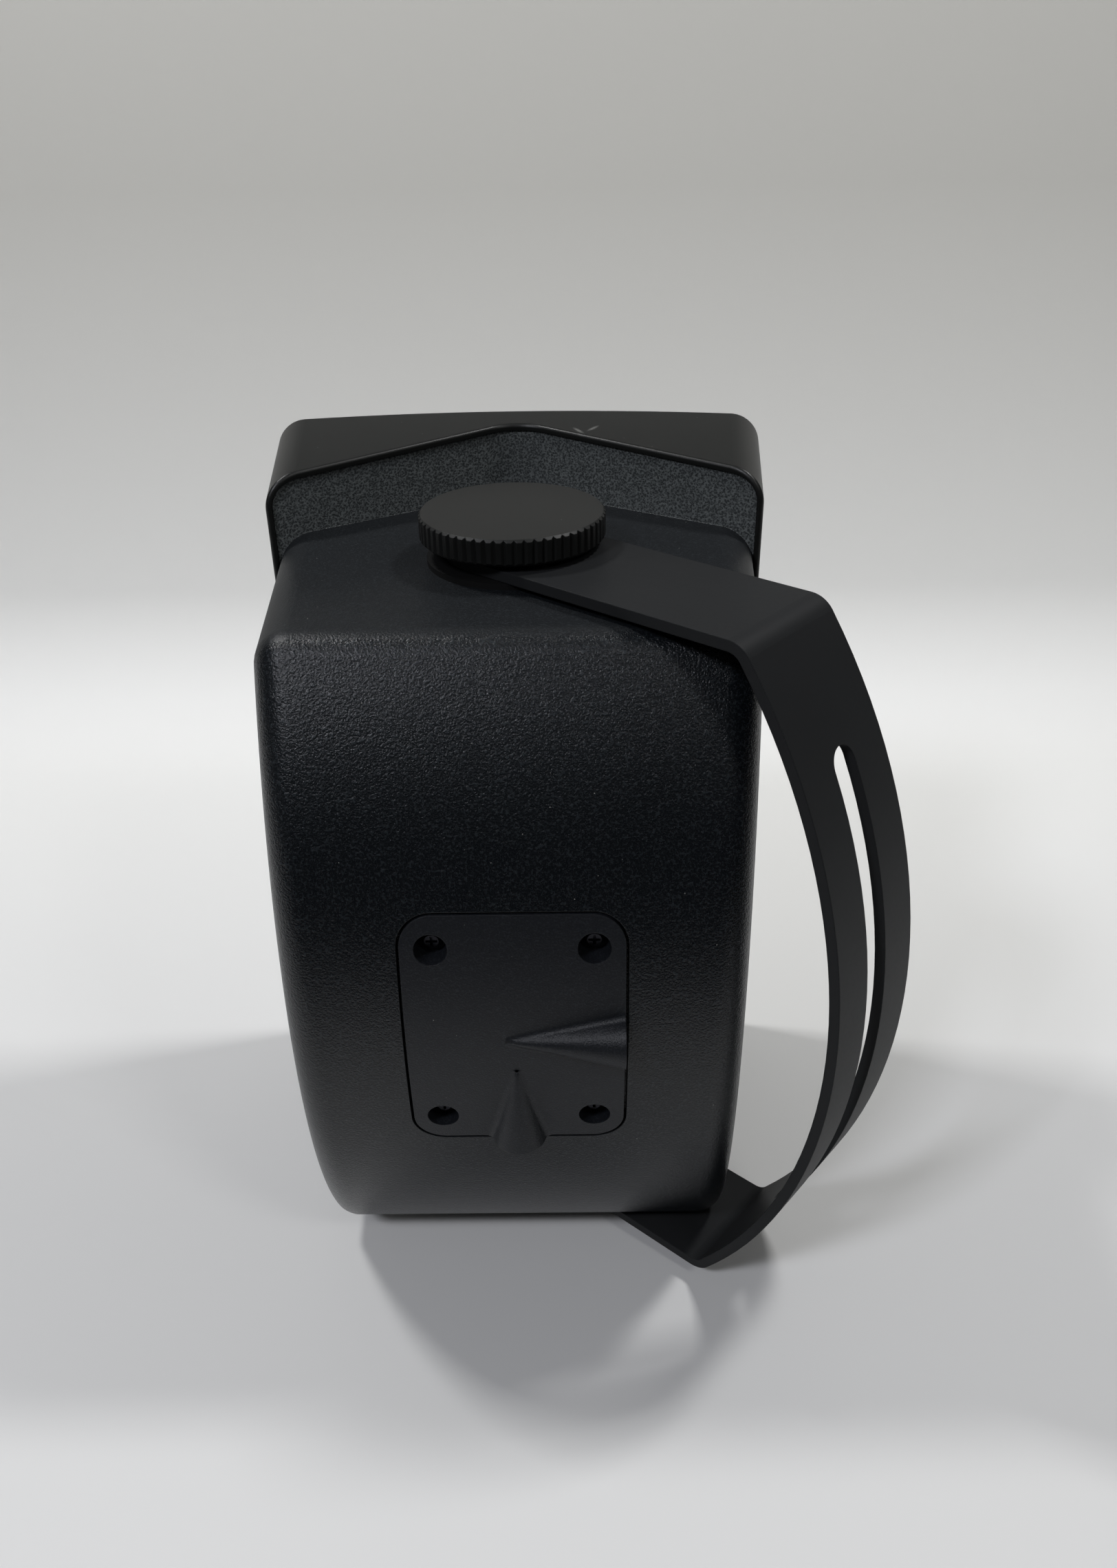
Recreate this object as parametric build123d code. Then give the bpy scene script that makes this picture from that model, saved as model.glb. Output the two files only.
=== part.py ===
from build123d import *
import os
from math import cos, radians, sin, sqrt, tan

# Two-way outdoor speaker on a swivel bracket.
# Millimetres. X runs to the right as seen from the grille, Y to the back and Z up.
# The origin lies on the swivel axis, on the outer face of the lower clamp knob.

# Clamp stack on the swivel axis, from the cabinet's end face outwards
PAD_THICK = 1.9
ARM_GAP = 0.2
STRAP_THICK = 3.5
WASHER_THICK = 1.5
KNOB_GAP = 0.2
HUB_STEP = 0.4
KNOB_RIM = 8.5
END_STACK = PAD_THICK + ARM_GAP * 2 + STRAP_THICK + WASHER_THICK + KNOB_GAP + HUB_STEP + KNOB_RIM

# Cabinet tub
TUB_END_STEP = 26.5
TUB_SIDE_STEP = 0.4
TUB_DRAFT = 5.3
TUB_BACK_Y = 61.5
TUB_BACK_BOW = 38.0
TUB_WALL = 3.0
TUB_EDGE_R = 11.0

# V-shaped wall behind the front frame
WALL_PEAK_Y = -70.5
WALL_SWEEP = 32.0
WALL_CREASE_R = 18.0
FLANGE_THICK = 3.0
RIM_WIDTH = 2.2
RIM_DEPTH = 0.8
RIM_EDGE_R = 1.2
FLANGE_CLEARANCE = 0.1

# Front frame with the driver panel
FRONT_Y = -77.5
FRONT_BOW = 7.0
FRONT_WIDTH = 179.0
FRONT_DRAFT = 5.6
FRONT_CORNER_R = 11.0
FRONT_EDGE_R = 1.2
LEDGE_WIDTH = 5.5
PANEL_DEPTH = 7.0
PANEL_THICK = 3.0
SEAT_RIB = 4.0
SEAT_FLOOR = 3.0

# Perforated sheet grille
GRILLE_THICK = 1.0
GRILLE_LIP = 2.2
GRILLE_GAP = 0.3
GRILLE_RETURN = 5.0

# Screws: shank, head and boss sizes
SCREW_R = 1.75
SCREW_HEAD_R = 3.6
SCREW_HEAD_H = 2.4
SCREW_HEAD_EDGE = 1.2
SCREW_CROWN_R = 2.2
SCREW_LENGTH = 12.0
RECESS_LENGTH = 3.6
RECESS_WIDTH = 0.9
RECESS_DEPTH = 1.2
SCREW_SINK = 1.2
CLEARANCE = 0.3
BOSS_R = 4.5
FRAME_SCREW_X = (30.0, 66.0)
FRAME_SCREW_INSET = 10.5

# Bracket
STRAP_WIDTH = 44.0
STRAP_REACH = 102.0
STRAP_BOW = 42.3
STRAP_BEND_R = 9.0
STRAP_TURN = 49.6
SLOT_WIDTH = 11.0
SLOT_LENGTH = 184.0

# Clamp knobs, studs, washers, pads and threaded inserts
KNOB_R = 30.0
KNOB_CHAMFER = 0.8
KNOB_BEVEL = 1.0
FLUTES = 60
FLUTE_DEPTH = 0.7
RIB_SHARE = 0.45
HUB_R = 13.0
STUD_R = 4.0
STUD_RUN = 0.05
STUD_SOCKET = 6.0
STUD_HOLE_CLEARANCE = 0.4
WASHER_R = 13.0
PAD_R = 28.0
INSERT_R = 6.0
INSERT_LENGTH = 16.0
INSERT_BOSS_R = 10.0

# Terminal cover and the pocket behind it
COVER_WIDTH = 67.0
COVER_HEIGHT = 88.0
COVER_LIFT = 1.4
COVER_CORNER_R = 10.0
COVER_THICK = 3.0
COVER_GROOVE = 0.9
COVER_SCREW_X = 48.4
COVER_SCREW_Z = 66.2
COUNTERBORE_R = 5.0
COUNTERBORE_DEPTH = 4.3
COVER_BOSS_WALL = 2.0
SEAL_THICK = 0.8
HOOD_R = 8.6
HOOD_WALL = 1.8
HOOD_APEX_R = 0.6
HOOD_FILLET_R = 2.5
SIDE_HOOD_APEX_X = 3.0
LOWER_HOOD_APEX_DROP = 12.0
GROMMET_LENGTH = 6.0
PLUG_FIT = 0.05
POCKET_DEPTH = 22.0
POCKET_WALL = 2.5
POCKET_LEDGE = 5.5
TERMINAL_WIDTH = 34.0
TERMINAL_HEIGHT = 22.0
TERMINAL_DEPTH = 9.0
TERMINAL_POLES = 2
TERMINAL_BARRIER = 2.0

# Woofer, sizes behind its seat on the panel
WOOFER_MARGIN = 9.1
WOOFER_R = 66.5
WOOFER_SEAT_Y = -69.5
WOOFER_FLANGE = 3.0
WOOFER_SCREW_INSET = 5.5
WOOFER_RIM = 10.0
BASKET_WALL = 1.6
BASKET_NECK_R = 41.5
BASKET_DEPTH = 37.0
BASKET_SHOULDER = 14.0
BASKET_NECK = 31.0
BASKET_WINDOWS = 6
BASKET_WINDOW_START = 8.5
BASKET_WINDOW_WIDTH = 32.0
CONE_NECK_R = 13.6
CONE_DEPTH = 24.0
CONE_THICK = 0.8
GLUE_GAP = 0.2
FORMER_OVERLAP = 3.2
DUST_CAP_R = 17.0
DUST_CAP_HEIGHT = 5.0
ROLL_WIDTH = 8.9
ROLL_HEIGHT = 4.4
ROLL_THICK = 0.8
ROLL_LIP = 2.4
COIL_R = 13.0
COIL_WALL = 0.4
COIL_LENGTH = 27.0
WINDING_THICK = 0.7
WINDING_LENGTH = 9.0
GAP_CLEARANCE = 0.5
SPIDER_THICK = 0.6
SPIDER_WAVE = 1.6
SPIDER_WAVES = 4
TOP_PLATE_R = 35.0
TOP_PLATE_THICK = 5.0
MAGNET_R = 40.0
MAGNET_HOLE_R = 18.0
MAGNET_THICK = 15.0
YOKE_THICK = 5.0
POLE_VENT_R = 4.0

# Tweeter
TWEETER_MARGIN = 11.4
DRIVER_GAP = 7.5
TWEETER_R = 36.0
TWEETER_SEAT_Y = -73.0
TWEETER_PLATE = 3.5
TWEETER_SCREW_INSET = 5.5
TWEETER_BODY_R = 24.0
DOME_R = 12.7
DOME_HEIGHT = 4.6
DOME_THICK = 0.5
DOME_ROLL_R = 16.0
HORN_MARGIN = 0.9
HORN_LIP = 1.2
TWEETER_POLE_CLEARANCE = 0.5
TWEETER_COIL_WALL = 0.5
TWEETER_TOP_PLATE = 3.0
TWEETER_MAGNET = 8.0
TWEETER_BACK_PLATE = 4.0

# Crossover board on the cabinet's floor
BOARD_WIDTH = 84.0
BOARD_DEPTH = 40.0
BOARD_THICK = 1.6
BOARD_Y = 42.0
BOARD_POST = 6.0
BOARD_HOLE_INSET = 5.0
COIL_FORM_R = 15.0
COIL_FORM_H = 18.0
COIL_FORM_WALL = 1.2
COIL_FORM_HOLE_R = 7.0
COIL_FORM_X = -14.0
COIL_WINDING_R = 12.6
CAPACITOR_R = 6.5
CAPACITOR_LENGTH = 26.0
CAPACITOR_X = 16.8
CAPACITOR_PITCH = 15.6
RESISTOR_SIZE = (9.0, 20.0, 9.0)
RESISTOR_GAP = 1.2

# Values worked out from the sizes above
DRIVER_SPAN = WOOFER_MARGIN + 2 * WOOFER_R + DRIVER_GAP + 2 * TWEETER_R + TWEETER_MARGIN
TUB_HEIGHT = DRIVER_SPAN + 2 * TUB_WALL
FRONT_HEIGHT = TUB_HEIGHT + 2 * TUB_END_STEP
TUB_BOTTOM = END_STACK
TUB_TOP = TUB_BOTTOM + TUB_HEIGHT
MID_Z = TUB_BOTTOM + TUB_HEIGHT / 2
FAR = TUB_HEIGHT * 2
BACK_R = ((TUB_HEIGHT / 2) ** 2 + TUB_BACK_BOW**2) / (2 * TUB_BACK_BOW)
BACK_CENTRE_Y = TUB_BACK_Y + TUB_BACK_BOW - BACK_R
FRONT_R = ((FRONT_WIDTH / 2) ** 2 + FRONT_BOW**2) / (2 * FRONT_BOW)
FRONT_CENTRE_Y = FRONT_Y - FRONT_BOW + FRONT_R
WALL_TAN = tan(radians(WALL_SWEEP))
WALL_COS = cos(radians(WALL_SWEEP))
WALL_VERTEX_Y = WALL_PEAK_Y - WALL_CREASE_R * (1 / WALL_COS - 1)
FRONT_TAN = tan(radians(FRONT_DRAFT))
POCKET_HALF = FRONT_WIDTH / 2 - RIM_WIDTH - TUB_SIDE_STEP
TUB_WIDTH = 2 * (POCKET_HALF - (WALL_VERTEX_Y - FRONT_Y) * FRONT_TAN) / (1 + WALL_TAN * FRONT_TAN)
WALL_END_Y = WALL_VERTEX_Y + WALL_TAN * TUB_WIDTH / 2
COVER_Z = MID_Z + COVER_LIFT
WOOFER_Z = TUB_BOTTOM + TUB_WALL + WOOFER_MARGIN + WOOFER_R
TWEETER_Z = WOOFER_Z + WOOFER_R + DRIVER_GAP + TWEETER_R
POCKET_FLOOR_Y = TUB_BACK_Y + TUB_BACK_BOW - POCKET_DEPTH
WOOFER_SCREW_R = WOOFER_R - WOOFER_SCREW_INSET
BASKET_R = WOOFER_R - WOOFER_RIM
CONE_R = BASKET_R - BASKET_WALL - ROLL_WIDTH
TWEETER_SCREW_R = TWEETER_R - TWEETER_SCREW_INSET
HORN_R = TWEETER_SCREW_R - SCREW_HEAD_R - HORN_MARGIN


def prism_y(sketch, start, end):
    """Extrude a sketch drawn in X and Z from one depth to another."""
    return extrude(Plane.XZ.offset(-start) * sketch, amount=start - end)


def turned_y(points, z):
    """Turn a profile of (radius, y) points about a Y-parallel axis at height z."""
    profile = make_face(Polyline(*points, close=True))
    return Pos(0, 0, z) * revolve(profile, Axis.Y)


def turned_z(points):
    """Turn a profile of (radius, z) points about the swivel axis."""
    profile = Plane.XZ * make_face(Polyline(*points, close=True))
    return revolve(profile, Axis.Z)


def rod_y(radius, start, end, x, z):
    """A round bar along Y."""
    return prism_y(Pos(x, z) * Circle(radius), start, end)


def at_top(shape):
    """The upper twin of a piece modelled at the cabinet's lower end."""
    return mirror(shape, Plane.XY.offset(MID_Z))


def back_round(inset):
    """Everything inside the bowed back face, moved inwards by inset."""
    return Pos(0, BACK_CENTRE_Y, MID_Z) * Rot(0, 90, 0) * Cylinder(BACK_R - inset, FAR)


def back_y(height, inset=0.0):
    """Depth of the bowed back at a height above the cabinet's middle."""
    return BACK_CENTRE_Y + sqrt((BACK_R - inset) ** 2 - height**2)


def bowed_front(inset):
    """Everything behind the bowed front face, moved backwards by inset."""
    return Pos(0, FRONT_CENTRE_Y, MID_Z) * Cylinder(FRONT_R - inset, FAR)


def front_y(x, inset=0.0):
    """Depth of the bowed front at a distance x from the middle."""
    return FRONT_CENTRE_Y - sqrt((FRONT_R - inset) ** 2 - x**2)


def before_wall(offset):
    """Everything in front of the V-shaped wall, moved forwards by offset."""
    vertex = WALL_VERTEX_Y - offset / WALL_COS
    edge = vertex + WALL_TAN * FAR
    outline = Polyline((-FAR, edge), (0, vertex), (FAR, edge), (FAR, -FAR), (-FAR, -FAR), close=True)
    face = make_face(outline)
    crease = face.vertices().sort_by_distance((0, vertex, 0))[0]
    face = fillet(crease, WALL_CREASE_R + offset)
    return Pos(0, 0, -FAR / 2) * extrude(face, FAR * 2)


def tub_block(inset):
    """The tub's outer form with every face moved inwards by inset, open-ended at the front."""
    front = FRONT_Y - FRONT_BOW - TUB_EDGE_R - inset
    low = TUB_BOTTOM + inset
    high = TUB_TOP - inset
    back = back_y(TUB_HEIGHT / 2 - inset, inset)
    middle = BACK_CENTRE_Y + BACK_R - inset
    side_view = make_face(
        [
            Polyline((back, low), (front, low), (front, high), (back, high)),
            ThreePointArc((back, high), (middle, MID_Z), (back, low)),
        ]
    )
    block = extrude(Plane.YZ * side_view, TUB_WIDTH, both=True)
    draft = tan(radians(TUB_DRAFT))
    trim = inset / cos(radians(TUB_DRAFT))
    front_half = TUB_WIDTH / 2 + (WALL_END_Y - front) * draft - trim
    back_half = TUB_WIDTH / 2 + (WALL_END_Y - middle - TUB_WIDTH) * draft - trim
    plan = Polyline(
        (-front_half, front),
        (front_half, front),
        (back_half, middle + TUB_WIDTH),
        (-back_half, middle + TUB_WIDTH),
        close=True,
    )
    block = block & extrude(make_face(plan), FAR)
    sides = block.faces().sort_by(Axis.X)
    long_edges = sides[0].edges().sort_by(Axis.Y)[1:] + sides[-1].edges().sort_by(Axis.Y)[1:]
    back_edges = block.edges().filter_by(Axis.X).sort_by(Axis.Y)[-2:]
    return fillet(long_edges + back_edges, TUB_EDGE_R - inset)


def frame_block(inset):
    """The front frame's tapered outer form with its sides moved inwards by inset."""
    start = FRONT_Y - FRONT_BOW
    end = WALL_END_Y + TUB_EDGE_R
    grow = (FRONT_Y - start) * FRONT_TAN - inset
    shrink = (FRONT_Y - end) * FRONT_TAN - inset

    def wedge(half):
        """Tapered outline in depth and one cross direction."""
        wide = half + grow
        narrow = half + shrink
        return make_face(
            Polyline((start, -wide), (end, -narrow), (end, narrow), (start, wide), close=True)
        )

    upright = extrude(Plane.YZ.offset(-FAR) * Pos(0, MID_Z) * wedge(FRONT_HEIGHT / 2), FAR * 2)
    level = Plane(origin=(0, 0, -FAR), x_dir=(0, 1, 0), z_dir=(0, 0, 1)) * wedge(FRONT_WIDTH / 2)
    block = upright & extrude(level, FAR * 3)
    ends = block.faces().sort_by(Axis.Y)
    corners = block.edges() - ends[0].edges() - ends[-1].edges()
    return fillet(corners, FRONT_CORNER_R - inset)


def frame_screw_points():
    """Places of the screws that hold the front frame on the tub's flange."""
    for x in FRAME_SCREW_X:
        for side in (-x, x):
            yield side, TUB_BOTTOM - FRAME_SCREW_INSET
            yield side, TUB_TOP + FRAME_SCREW_INSET


def cover_screw_points():
    """Places of the four terminal cover screws."""
    return [
        (x, COVER_Z + z)
        for x in (-COVER_SCREW_X / 2, COVER_SCREW_X / 2)
        for z in (-COVER_SCREW_Z / 2, COVER_SCREW_Z / 2)
    ]


def cover_outline(grow):
    """The terminal cover's outline, grown evenly."""
    width = COVER_WIDTH + 2 * grow
    height = COVER_HEIGHT + 2 * grow
    return Pos(0, COVER_Z) * RectangleRounded(width, height, COVER_CORNER_R + grow)


def cover_screw_seat():
    """Depth of the flat under the cover's screw bosses."""
    surface = back_y(COVER_SCREW_Z / 2 + COVER_LIFT)
    return surface - COUNTERBORE_DEPTH - SCREW_HEAD_H - COVER_BOSS_WALL


def board_screw_points():
    """Places of the crossover board's screws."""
    half_x = BOARD_WIDTH / 2 - BOARD_HOLE_INSET
    half_y = BOARD_DEPTH / 2 - BOARD_HOLE_INSET
    return [(x, BOARD_Y + y) for x in (-half_x, half_x) for y in (-half_y, half_y)]


def ring_points(radius, z):
    """Four screw places on a circle, on the diagonals."""
    reach = radius * cos(radians(45))
    return [(x, z + dz) for x in (-reach, reach) for dz in (-reach, reach)]


def pan_screw():
    """A pan-head screw along +Y, its head's seat at y = 0."""
    shank = rod_y(SCREW_R, 0, SCREW_LENGTH, 0, 0)
    head = turned_y(
        [
            (0, -SCREW_HEAD_H),
            (SCREW_CROWN_R, -SCREW_HEAD_H),
            (SCREW_HEAD_R, -SCREW_HEAD_EDGE),
            (SCREW_HEAD_R, 0),
            (0, 0),
        ],
        0,
    )
    cross = Rectangle(RECESS_LENGTH, RECESS_WIDTH) + Rectangle(RECESS_WIDTH, RECESS_LENGTH)
    recess = prism_y(cross, -SCREW_HEAD_H, RECESS_DEPTH - SCREW_HEAD_H)
    return head + shank - recess


def screw_group(points, seat):
    """Pan-head screws at (x, z) points with their heads' seats at one depth."""
    return Compound(children=[Pos(x, seat, z) * pan_screw() for x, z in points])


def panel_front_y(x):
    """Depth of the driver panel's front face at a distance x from the middle."""
    return front_y(x, PANEL_DEPTH)


def panel_rear_y(x):
    """Depth of the driver panel's rear face at a distance x from the middle."""
    return front_y(x, PANEL_DEPTH + PANEL_THICK)


def frame_screw_seat(x):
    """Depth where a frame screw's head seats in its counterbore."""
    return panel_front_y(abs(x) + BOSS_R) + SCREW_SINK


def frame_boss_end(x):
    """Depth where a tub boss meets the back of the driver panel."""
    return panel_rear_y(abs(x) + BOSS_R)


def cabinet_tub():
    """The moulded tub: bowed shell, V-shaped flange, bosses and the terminal pocket."""
    opening = tub_block(TUB_WALL)
    front_cut = before_wall(FLANGE_THICK)
    shell = tub_block(0) - opening - front_cut
    flange = frame_block(RIM_WIDTH + FLANGE_CLEARANCE) & (before_wall(0) - front_cut)
    tub = shell + (flange - opening)
    for x, z in frame_screw_points():
        boss = rod_y(BOSS_R, frame_boss_end(x), WALL_END_Y, x, z) & before_wall(FLANGE_THICK / 2)
        tub += boss
        tub -= rod_y(SCREW_R, -FAR, frame_screw_seat(x) + SCREW_LENGTH, x, z) & before_wall(FLANGE_THICK / 2)
    tub += prism_y(cover_outline(POCKET_WALL), POCKET_FLOOR_Y - POCKET_WALL, FAR) & back_round(TUB_WALL / 2)
    tub -= prism_y(cover_outline(COVER_GROOVE), POCKET_FLOOR_Y, FAR) - back_round(COVER_THICK + SEAL_THICK)
    cavity = prism_y(cover_outline(-POCKET_LEDGE), POCKET_FLOOR_Y, FAR)
    for x, z in cover_screw_points():
        cavity -= rod_y(COUNTERBORE_R + COVER_BOSS_WALL, POCKET_FLOOR_Y, cover_screw_seat(), x, z)
    tub -= cavity
    for x, z in cover_screw_points():
        tub -= rod_y(COUNTERBORE_R + COVER_BOSS_WALL, cover_screw_seat(), FAR, x, z)
        tub -= rod_y(SCREW_R, cover_screw_seat() + COVER_BOSS_WALL - SCREW_LENGTH, FAR, x, z)
    post_base = TUB_BOTTOM + TUB_WALL
    for x, y in board_screw_points():
        middle = Pos(x, y, post_base + BOARD_POST / 2)
        tub += middle * Cylinder(BOSS_R, BOARD_POST)
        tub -= middle * Cylinder(SCREW_R, BOARD_POST)
    boss_height = INSERT_LENGTH - TUB_WALL
    boss = Pos(0, 0, post_base + boss_height / 2) * Cylinder(INSERT_BOSS_R, boss_height)
    bore = Pos(0, 0, TUB_BOTTOM + INSERT_LENGTH / 2) * Cylinder(INSERT_R, INSERT_LENGTH)
    for place in (lambda shape: shape, at_top):
        tub = tub + place(boss) - place(bore)
    return tub


def driver_seat(frame, radius, body, seat, screw_circle, z):
    """Add a driver's round seat with its screw bosses to the panel."""
    frame += rod_y(radius + SEAT_RIB, panel_rear_y(0), seat + SEAT_FLOOR, 0, z)
    for x, zz in ring_points(screw_circle, z):
        frame += rod_y(BOSS_R, seat, seat + SCREW_LENGTH, x, zz)
    frame -= rod_y(radius + CLEARANCE, -FAR, seat, 0, z)
    frame -= rod_y(body + CLEARANCE, -FAR, FAR, 0, z)
    for x, zz in ring_points(screw_circle, z):
        frame -= rod_y(SCREW_R, -FAR, seat + SCREW_LENGTH, x, zz)
    return frame


def front_frame():
    """The front moulding: tapered frame, bowed driver panel and driver seats."""
    frame = frame_block(0) & before_wall(-RIM_DEPTH) & bowed_front(0)
    wall_faces = frame.faces().filter_by(lambda face: face.normal_at().Y > WALL_COS / 2)
    upright = wall_faces.edges().filter_by(Axis.Z)
    creases = upright.filter_by(lambda edge: abs(edge.center().X) < WALL_CREASE_R)
    frame = fillet(wall_faces.edges() - creases, RIM_EDGE_R)
    frame = fillet(frame.faces().sort_by(Axis.Y)[0].edges(), FRONT_EDGE_R)
    frame -= frame_block(RIM_WIDTH) - before_wall(FLANGE_THICK)
    frame -= frame_block(LEDGE_WIDTH) & bowed_front(PANEL_DEPTH + PANEL_THICK)
    frame -= frame_block(GRILLE_LIP) - bowed_front(PANEL_DEPTH)
    frame = driver_seat(frame, WOOFER_R, BASKET_R, WOOFER_SEAT_Y, WOOFER_SCREW_R, WOOFER_Z)
    frame = driver_seat(frame, TWEETER_R, TWEETER_BODY_R, TWEETER_SEAT_Y, TWEETER_SCREW_R, TWEETER_Z)
    for x, z in frame_screw_points():
        frame -= rod_y(SCREW_R + CLEARANCE, -FAR, frame_boss_end(x), x, z)
        frame -= rod_y(SCREW_HEAD_R + CLEARANCE, -FAR, frame_screw_seat(x), x, z)
    return frame


def grille():
    """The bowed sheet grille with its returned edge, set inside the frame."""
    outer = GRILLE_LIP + GRILLE_GAP
    sheet = frame_block(outer) & (bowed_front(0) - bowed_front(GRILLE_THICK))
    edge = frame_block(outer) - frame_block(outer + GRILLE_THICK)
    return sheet + (edge & (bowed_front(0) - bowed_front(GRILLE_RETURN)))


def frame_screws():
    """The screws that hold the front frame on the tub."""
    points = list(frame_screw_points())
    return Compound(children=[Pos(x, frame_screw_seat(x), z) * pan_screw() for x, z in points])


def bracket():
    """The bowed C-strap with its long wall slot, turned to its resting angle."""
    near = TUB_BOTTOM - PAD_THICK - ARM_GAP
    sections = []
    for inset in (0, STRAP_THICK):
        half = MID_Z - near + STRAP_THICK - inset
        outer_half = MID_Z - near + STRAP_THICK
        arc_r = (outer_half**2 + STRAP_BOW**2) / (2 * STRAP_BOW)
        arc_y = STRAP_REACH + STRAP_BOW - arc_r
        reach = arc_y + sqrt((arc_r - inset) ** 2 - half**2)
        crown = arc_y + arc_r - inset
        low = MID_Z - half
        high = MID_Z + half
        face = make_face(
            [
                Polyline((reach, low), (-FAR, low), (-FAR, high), (reach, high)),
                ThreePointArc((reach, high), (crown, MID_Z), (reach, low)),
            ]
        )
        corners = face.vertices().sort_by(Axis.X)[-2:]
        sections.append(fillet(corners, STRAP_BEND_R - inset))
    strap = extrude(Plane.YZ * (sections[0] - sections[1]), STRAP_WIDTH / 2, both=True)
    plan = Circle(STRAP_WIDTH / 2) + Pos(0, FAR / 2) * Rectangle(STRAP_WIDTH, FAR)
    strap = strap & extrude(plan, FAR, both=True)
    slot = Pos(0, MID_Z) * Rot(0, 0, 90) * SlotOverall(SLOT_LENGTH, SLOT_WIDTH)
    strap -= prism_y(slot, STRAP_WIDTH / 2, FAR)
    strap -= Pos(0, 0, MID_Z) * Cylinder(STUD_R + STUD_HOLE_CLEARANCE, FAR)
    return Rot(0, 0, STRAP_TURN) * strap


def lower_pad():
    """The rubber pad between the cabinet and the strap."""
    pad = Cylinder(PAD_R, PAD_THICK) - Cylinder(INSERT_R, PAD_THICK)
    return Pos(0, 0, TUB_BOTTOM - PAD_THICK / 2) * pad


def lower_washer():
    """The steel washer between the strap and the knob."""
    washer = Cylinder(WASHER_R, WASHER_THICK) - Cylinder(STUD_R + STUD_HOLE_CLEARANCE, WASHER_THICK)
    return Pos(0, 0, KNOB_RIM + HUB_STEP + KNOB_GAP + WASHER_THICK / 2) * washer


def lower_knob():
    """The fluted clamp knob with the socket for its stud."""
    outline = []
    pitch = 360.0 / FLUTES
    for rib in range(FLUTES):
        middle = rib * pitch
        for turn, radius in ((-RIB_SHARE, KNOB_R), (RIB_SHARE, KNOB_R), (1.0, KNOB_R - FLUTE_DEPTH)):
            angle = radians(middle + turn * pitch / 2)
            outline.append((radius * cos(angle), radius * sin(angle)))
    fluted = extrude(make_face(Polyline(*outline, close=True)), KNOB_RIM + HUB_STEP)
    body = turned_z(
        [
            (0, 0),
            (KNOB_R - KNOB_CHAMFER, 0),
            (KNOB_R, KNOB_CHAMFER),
            (KNOB_R, KNOB_RIM - KNOB_BEVEL),
            (KNOB_R - KNOB_BEVEL, KNOB_RIM),
            (HUB_R, KNOB_RIM),
            (HUB_R, KNOB_RIM + HUB_STEP),
            (0, KNOB_RIM + HUB_STEP),
        ]
    )
    top = KNOB_RIM + HUB_STEP
    socket = Pos(0, 0, top - STUD_SOCKET / 2) * Cylinder(STUD_R, STUD_SOCKET)
    return (fluted & body) - socket


def lower_stud():
    """The knob's threaded stud, as a plain rod at its major diameter."""
    start = KNOB_RIM + HUB_STEP - STUD_SOCKET
    end = TUB_BOTTOM + INSERT_LENGTH
    return Pos(0, 0, (start + end) / 2) * Cylinder(STUD_R, end - start)


def lower_insert():
    """The brass insert moulded into the cabinet's end."""
    insert = Cylinder(INSERT_R, INSERT_LENGTH) - Cylinder(STUD_R + STUD_RUN, INSERT_LENGTH)
    return Pos(0, 0, TUB_BOTTOM + INSERT_LENGTH / 2) * insert


def side_hood(shrink):
    """Half-cone cable hood that runs to the cover's edge on the -X side."""
    length = COVER_WIDTH / 2 + SIDE_HOOD_APEX_X
    cone = Cone(HOOD_R - shrink, HOOD_APEX_R, length)
    centre = Vector(SIDE_HOOD_APEX_X - length / 2, back_y(COVER_LIFT), COVER_Z)
    return Plane(origin=centre, x_dir=(0, -1, 1), z_dir=(1, 0, 0)) * cone


def lower_hood(shrink):
    """Half-cone cable hood that runs down to the cover's lower edge."""
    top = COVER_LIFT - LOWER_HOOD_APEX_DROP
    bottom = COVER_LIFT - COVER_HEIGHT / 2
    start = Vector(0, back_y(top), MID_Z + top)
    end = Vector(0, back_y(bottom), MID_Z + bottom)
    run = end - start
    cone = Cone(HOOD_APEX_R, HOOD_R - shrink, run.length)
    return Plane(origin=(start + end) * 0.5, z_dir=run) * cone


def terminal_cover():
    """The flush terminal cover with its screw bosses and two cable hoods."""
    outline = prism_y(cover_outline(0), POCKET_FLOOR_Y, FAR)
    cover = outline & (back_round(0) - back_round(COVER_THICK))
    outside = outline - back_round(COVER_THICK / 2)
    for hood in (side_hood, lower_hood):
        bulge = hood(0) & outside
        joined = cover + bulge
        seams = new_edges(cover, bulge, combined=joined)
        cover = fillet(seams.filter_by(lambda edge: edge.length > HOOD_R), HOOD_FILLET_R)
    for hood in (side_hood, lower_hood):
        cover -= hood(HOOD_WALL)
    for x, z in cover_screw_points():
        boss = rod_y(COUNTERBORE_R + COVER_BOSS_WALL - CLEARANCE, cover_screw_seat(), FAR, x, z)
        cover += boss & back_round(COVER_THICK / 2)
    head_seat = cover_screw_seat() + COVER_BOSS_WALL
    for x, z in cover_screw_points():
        cover -= rod_y(COUNTERBORE_R, head_seat, FAR, x, z)
        cover -= rod_y(SCREW_R + CLEARANCE, 0, FAR, x, z)
    return cover


def cable_grommets():
    """Closed rubber membrane plugs in the mouths of the two cable hoods."""
    outline = prism_y(cover_outline(0), POCKET_FLOOR_Y, FAR)
    band = outline - prism_y(cover_outline(-GROMMET_LENGTH), POCKET_FLOOR_Y, FAR)
    plugs = [hood(HOOD_WALL + PLUG_FIT) & band for hood in (side_hood, lower_hood)]
    return Compound(children=[plug - back_round(COVER_THICK) for plug in plugs])


def cover_seal():
    """The foam seal between the cover and its ledge."""
    ring = cover_outline(0) - cover_outline(-POCKET_LEDGE)
    layer = back_round(COVER_THICK) - back_round(COVER_THICK + SEAL_THICK)
    seal = prism_y(ring, POCKET_FLOOR_Y, FAR) & layer
    for x, z in cover_screw_points():
        seal -= rod_y(COUNTERBORE_R + COVER_BOSS_WALL, 0, FAR, x, z)
    return seal


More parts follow.
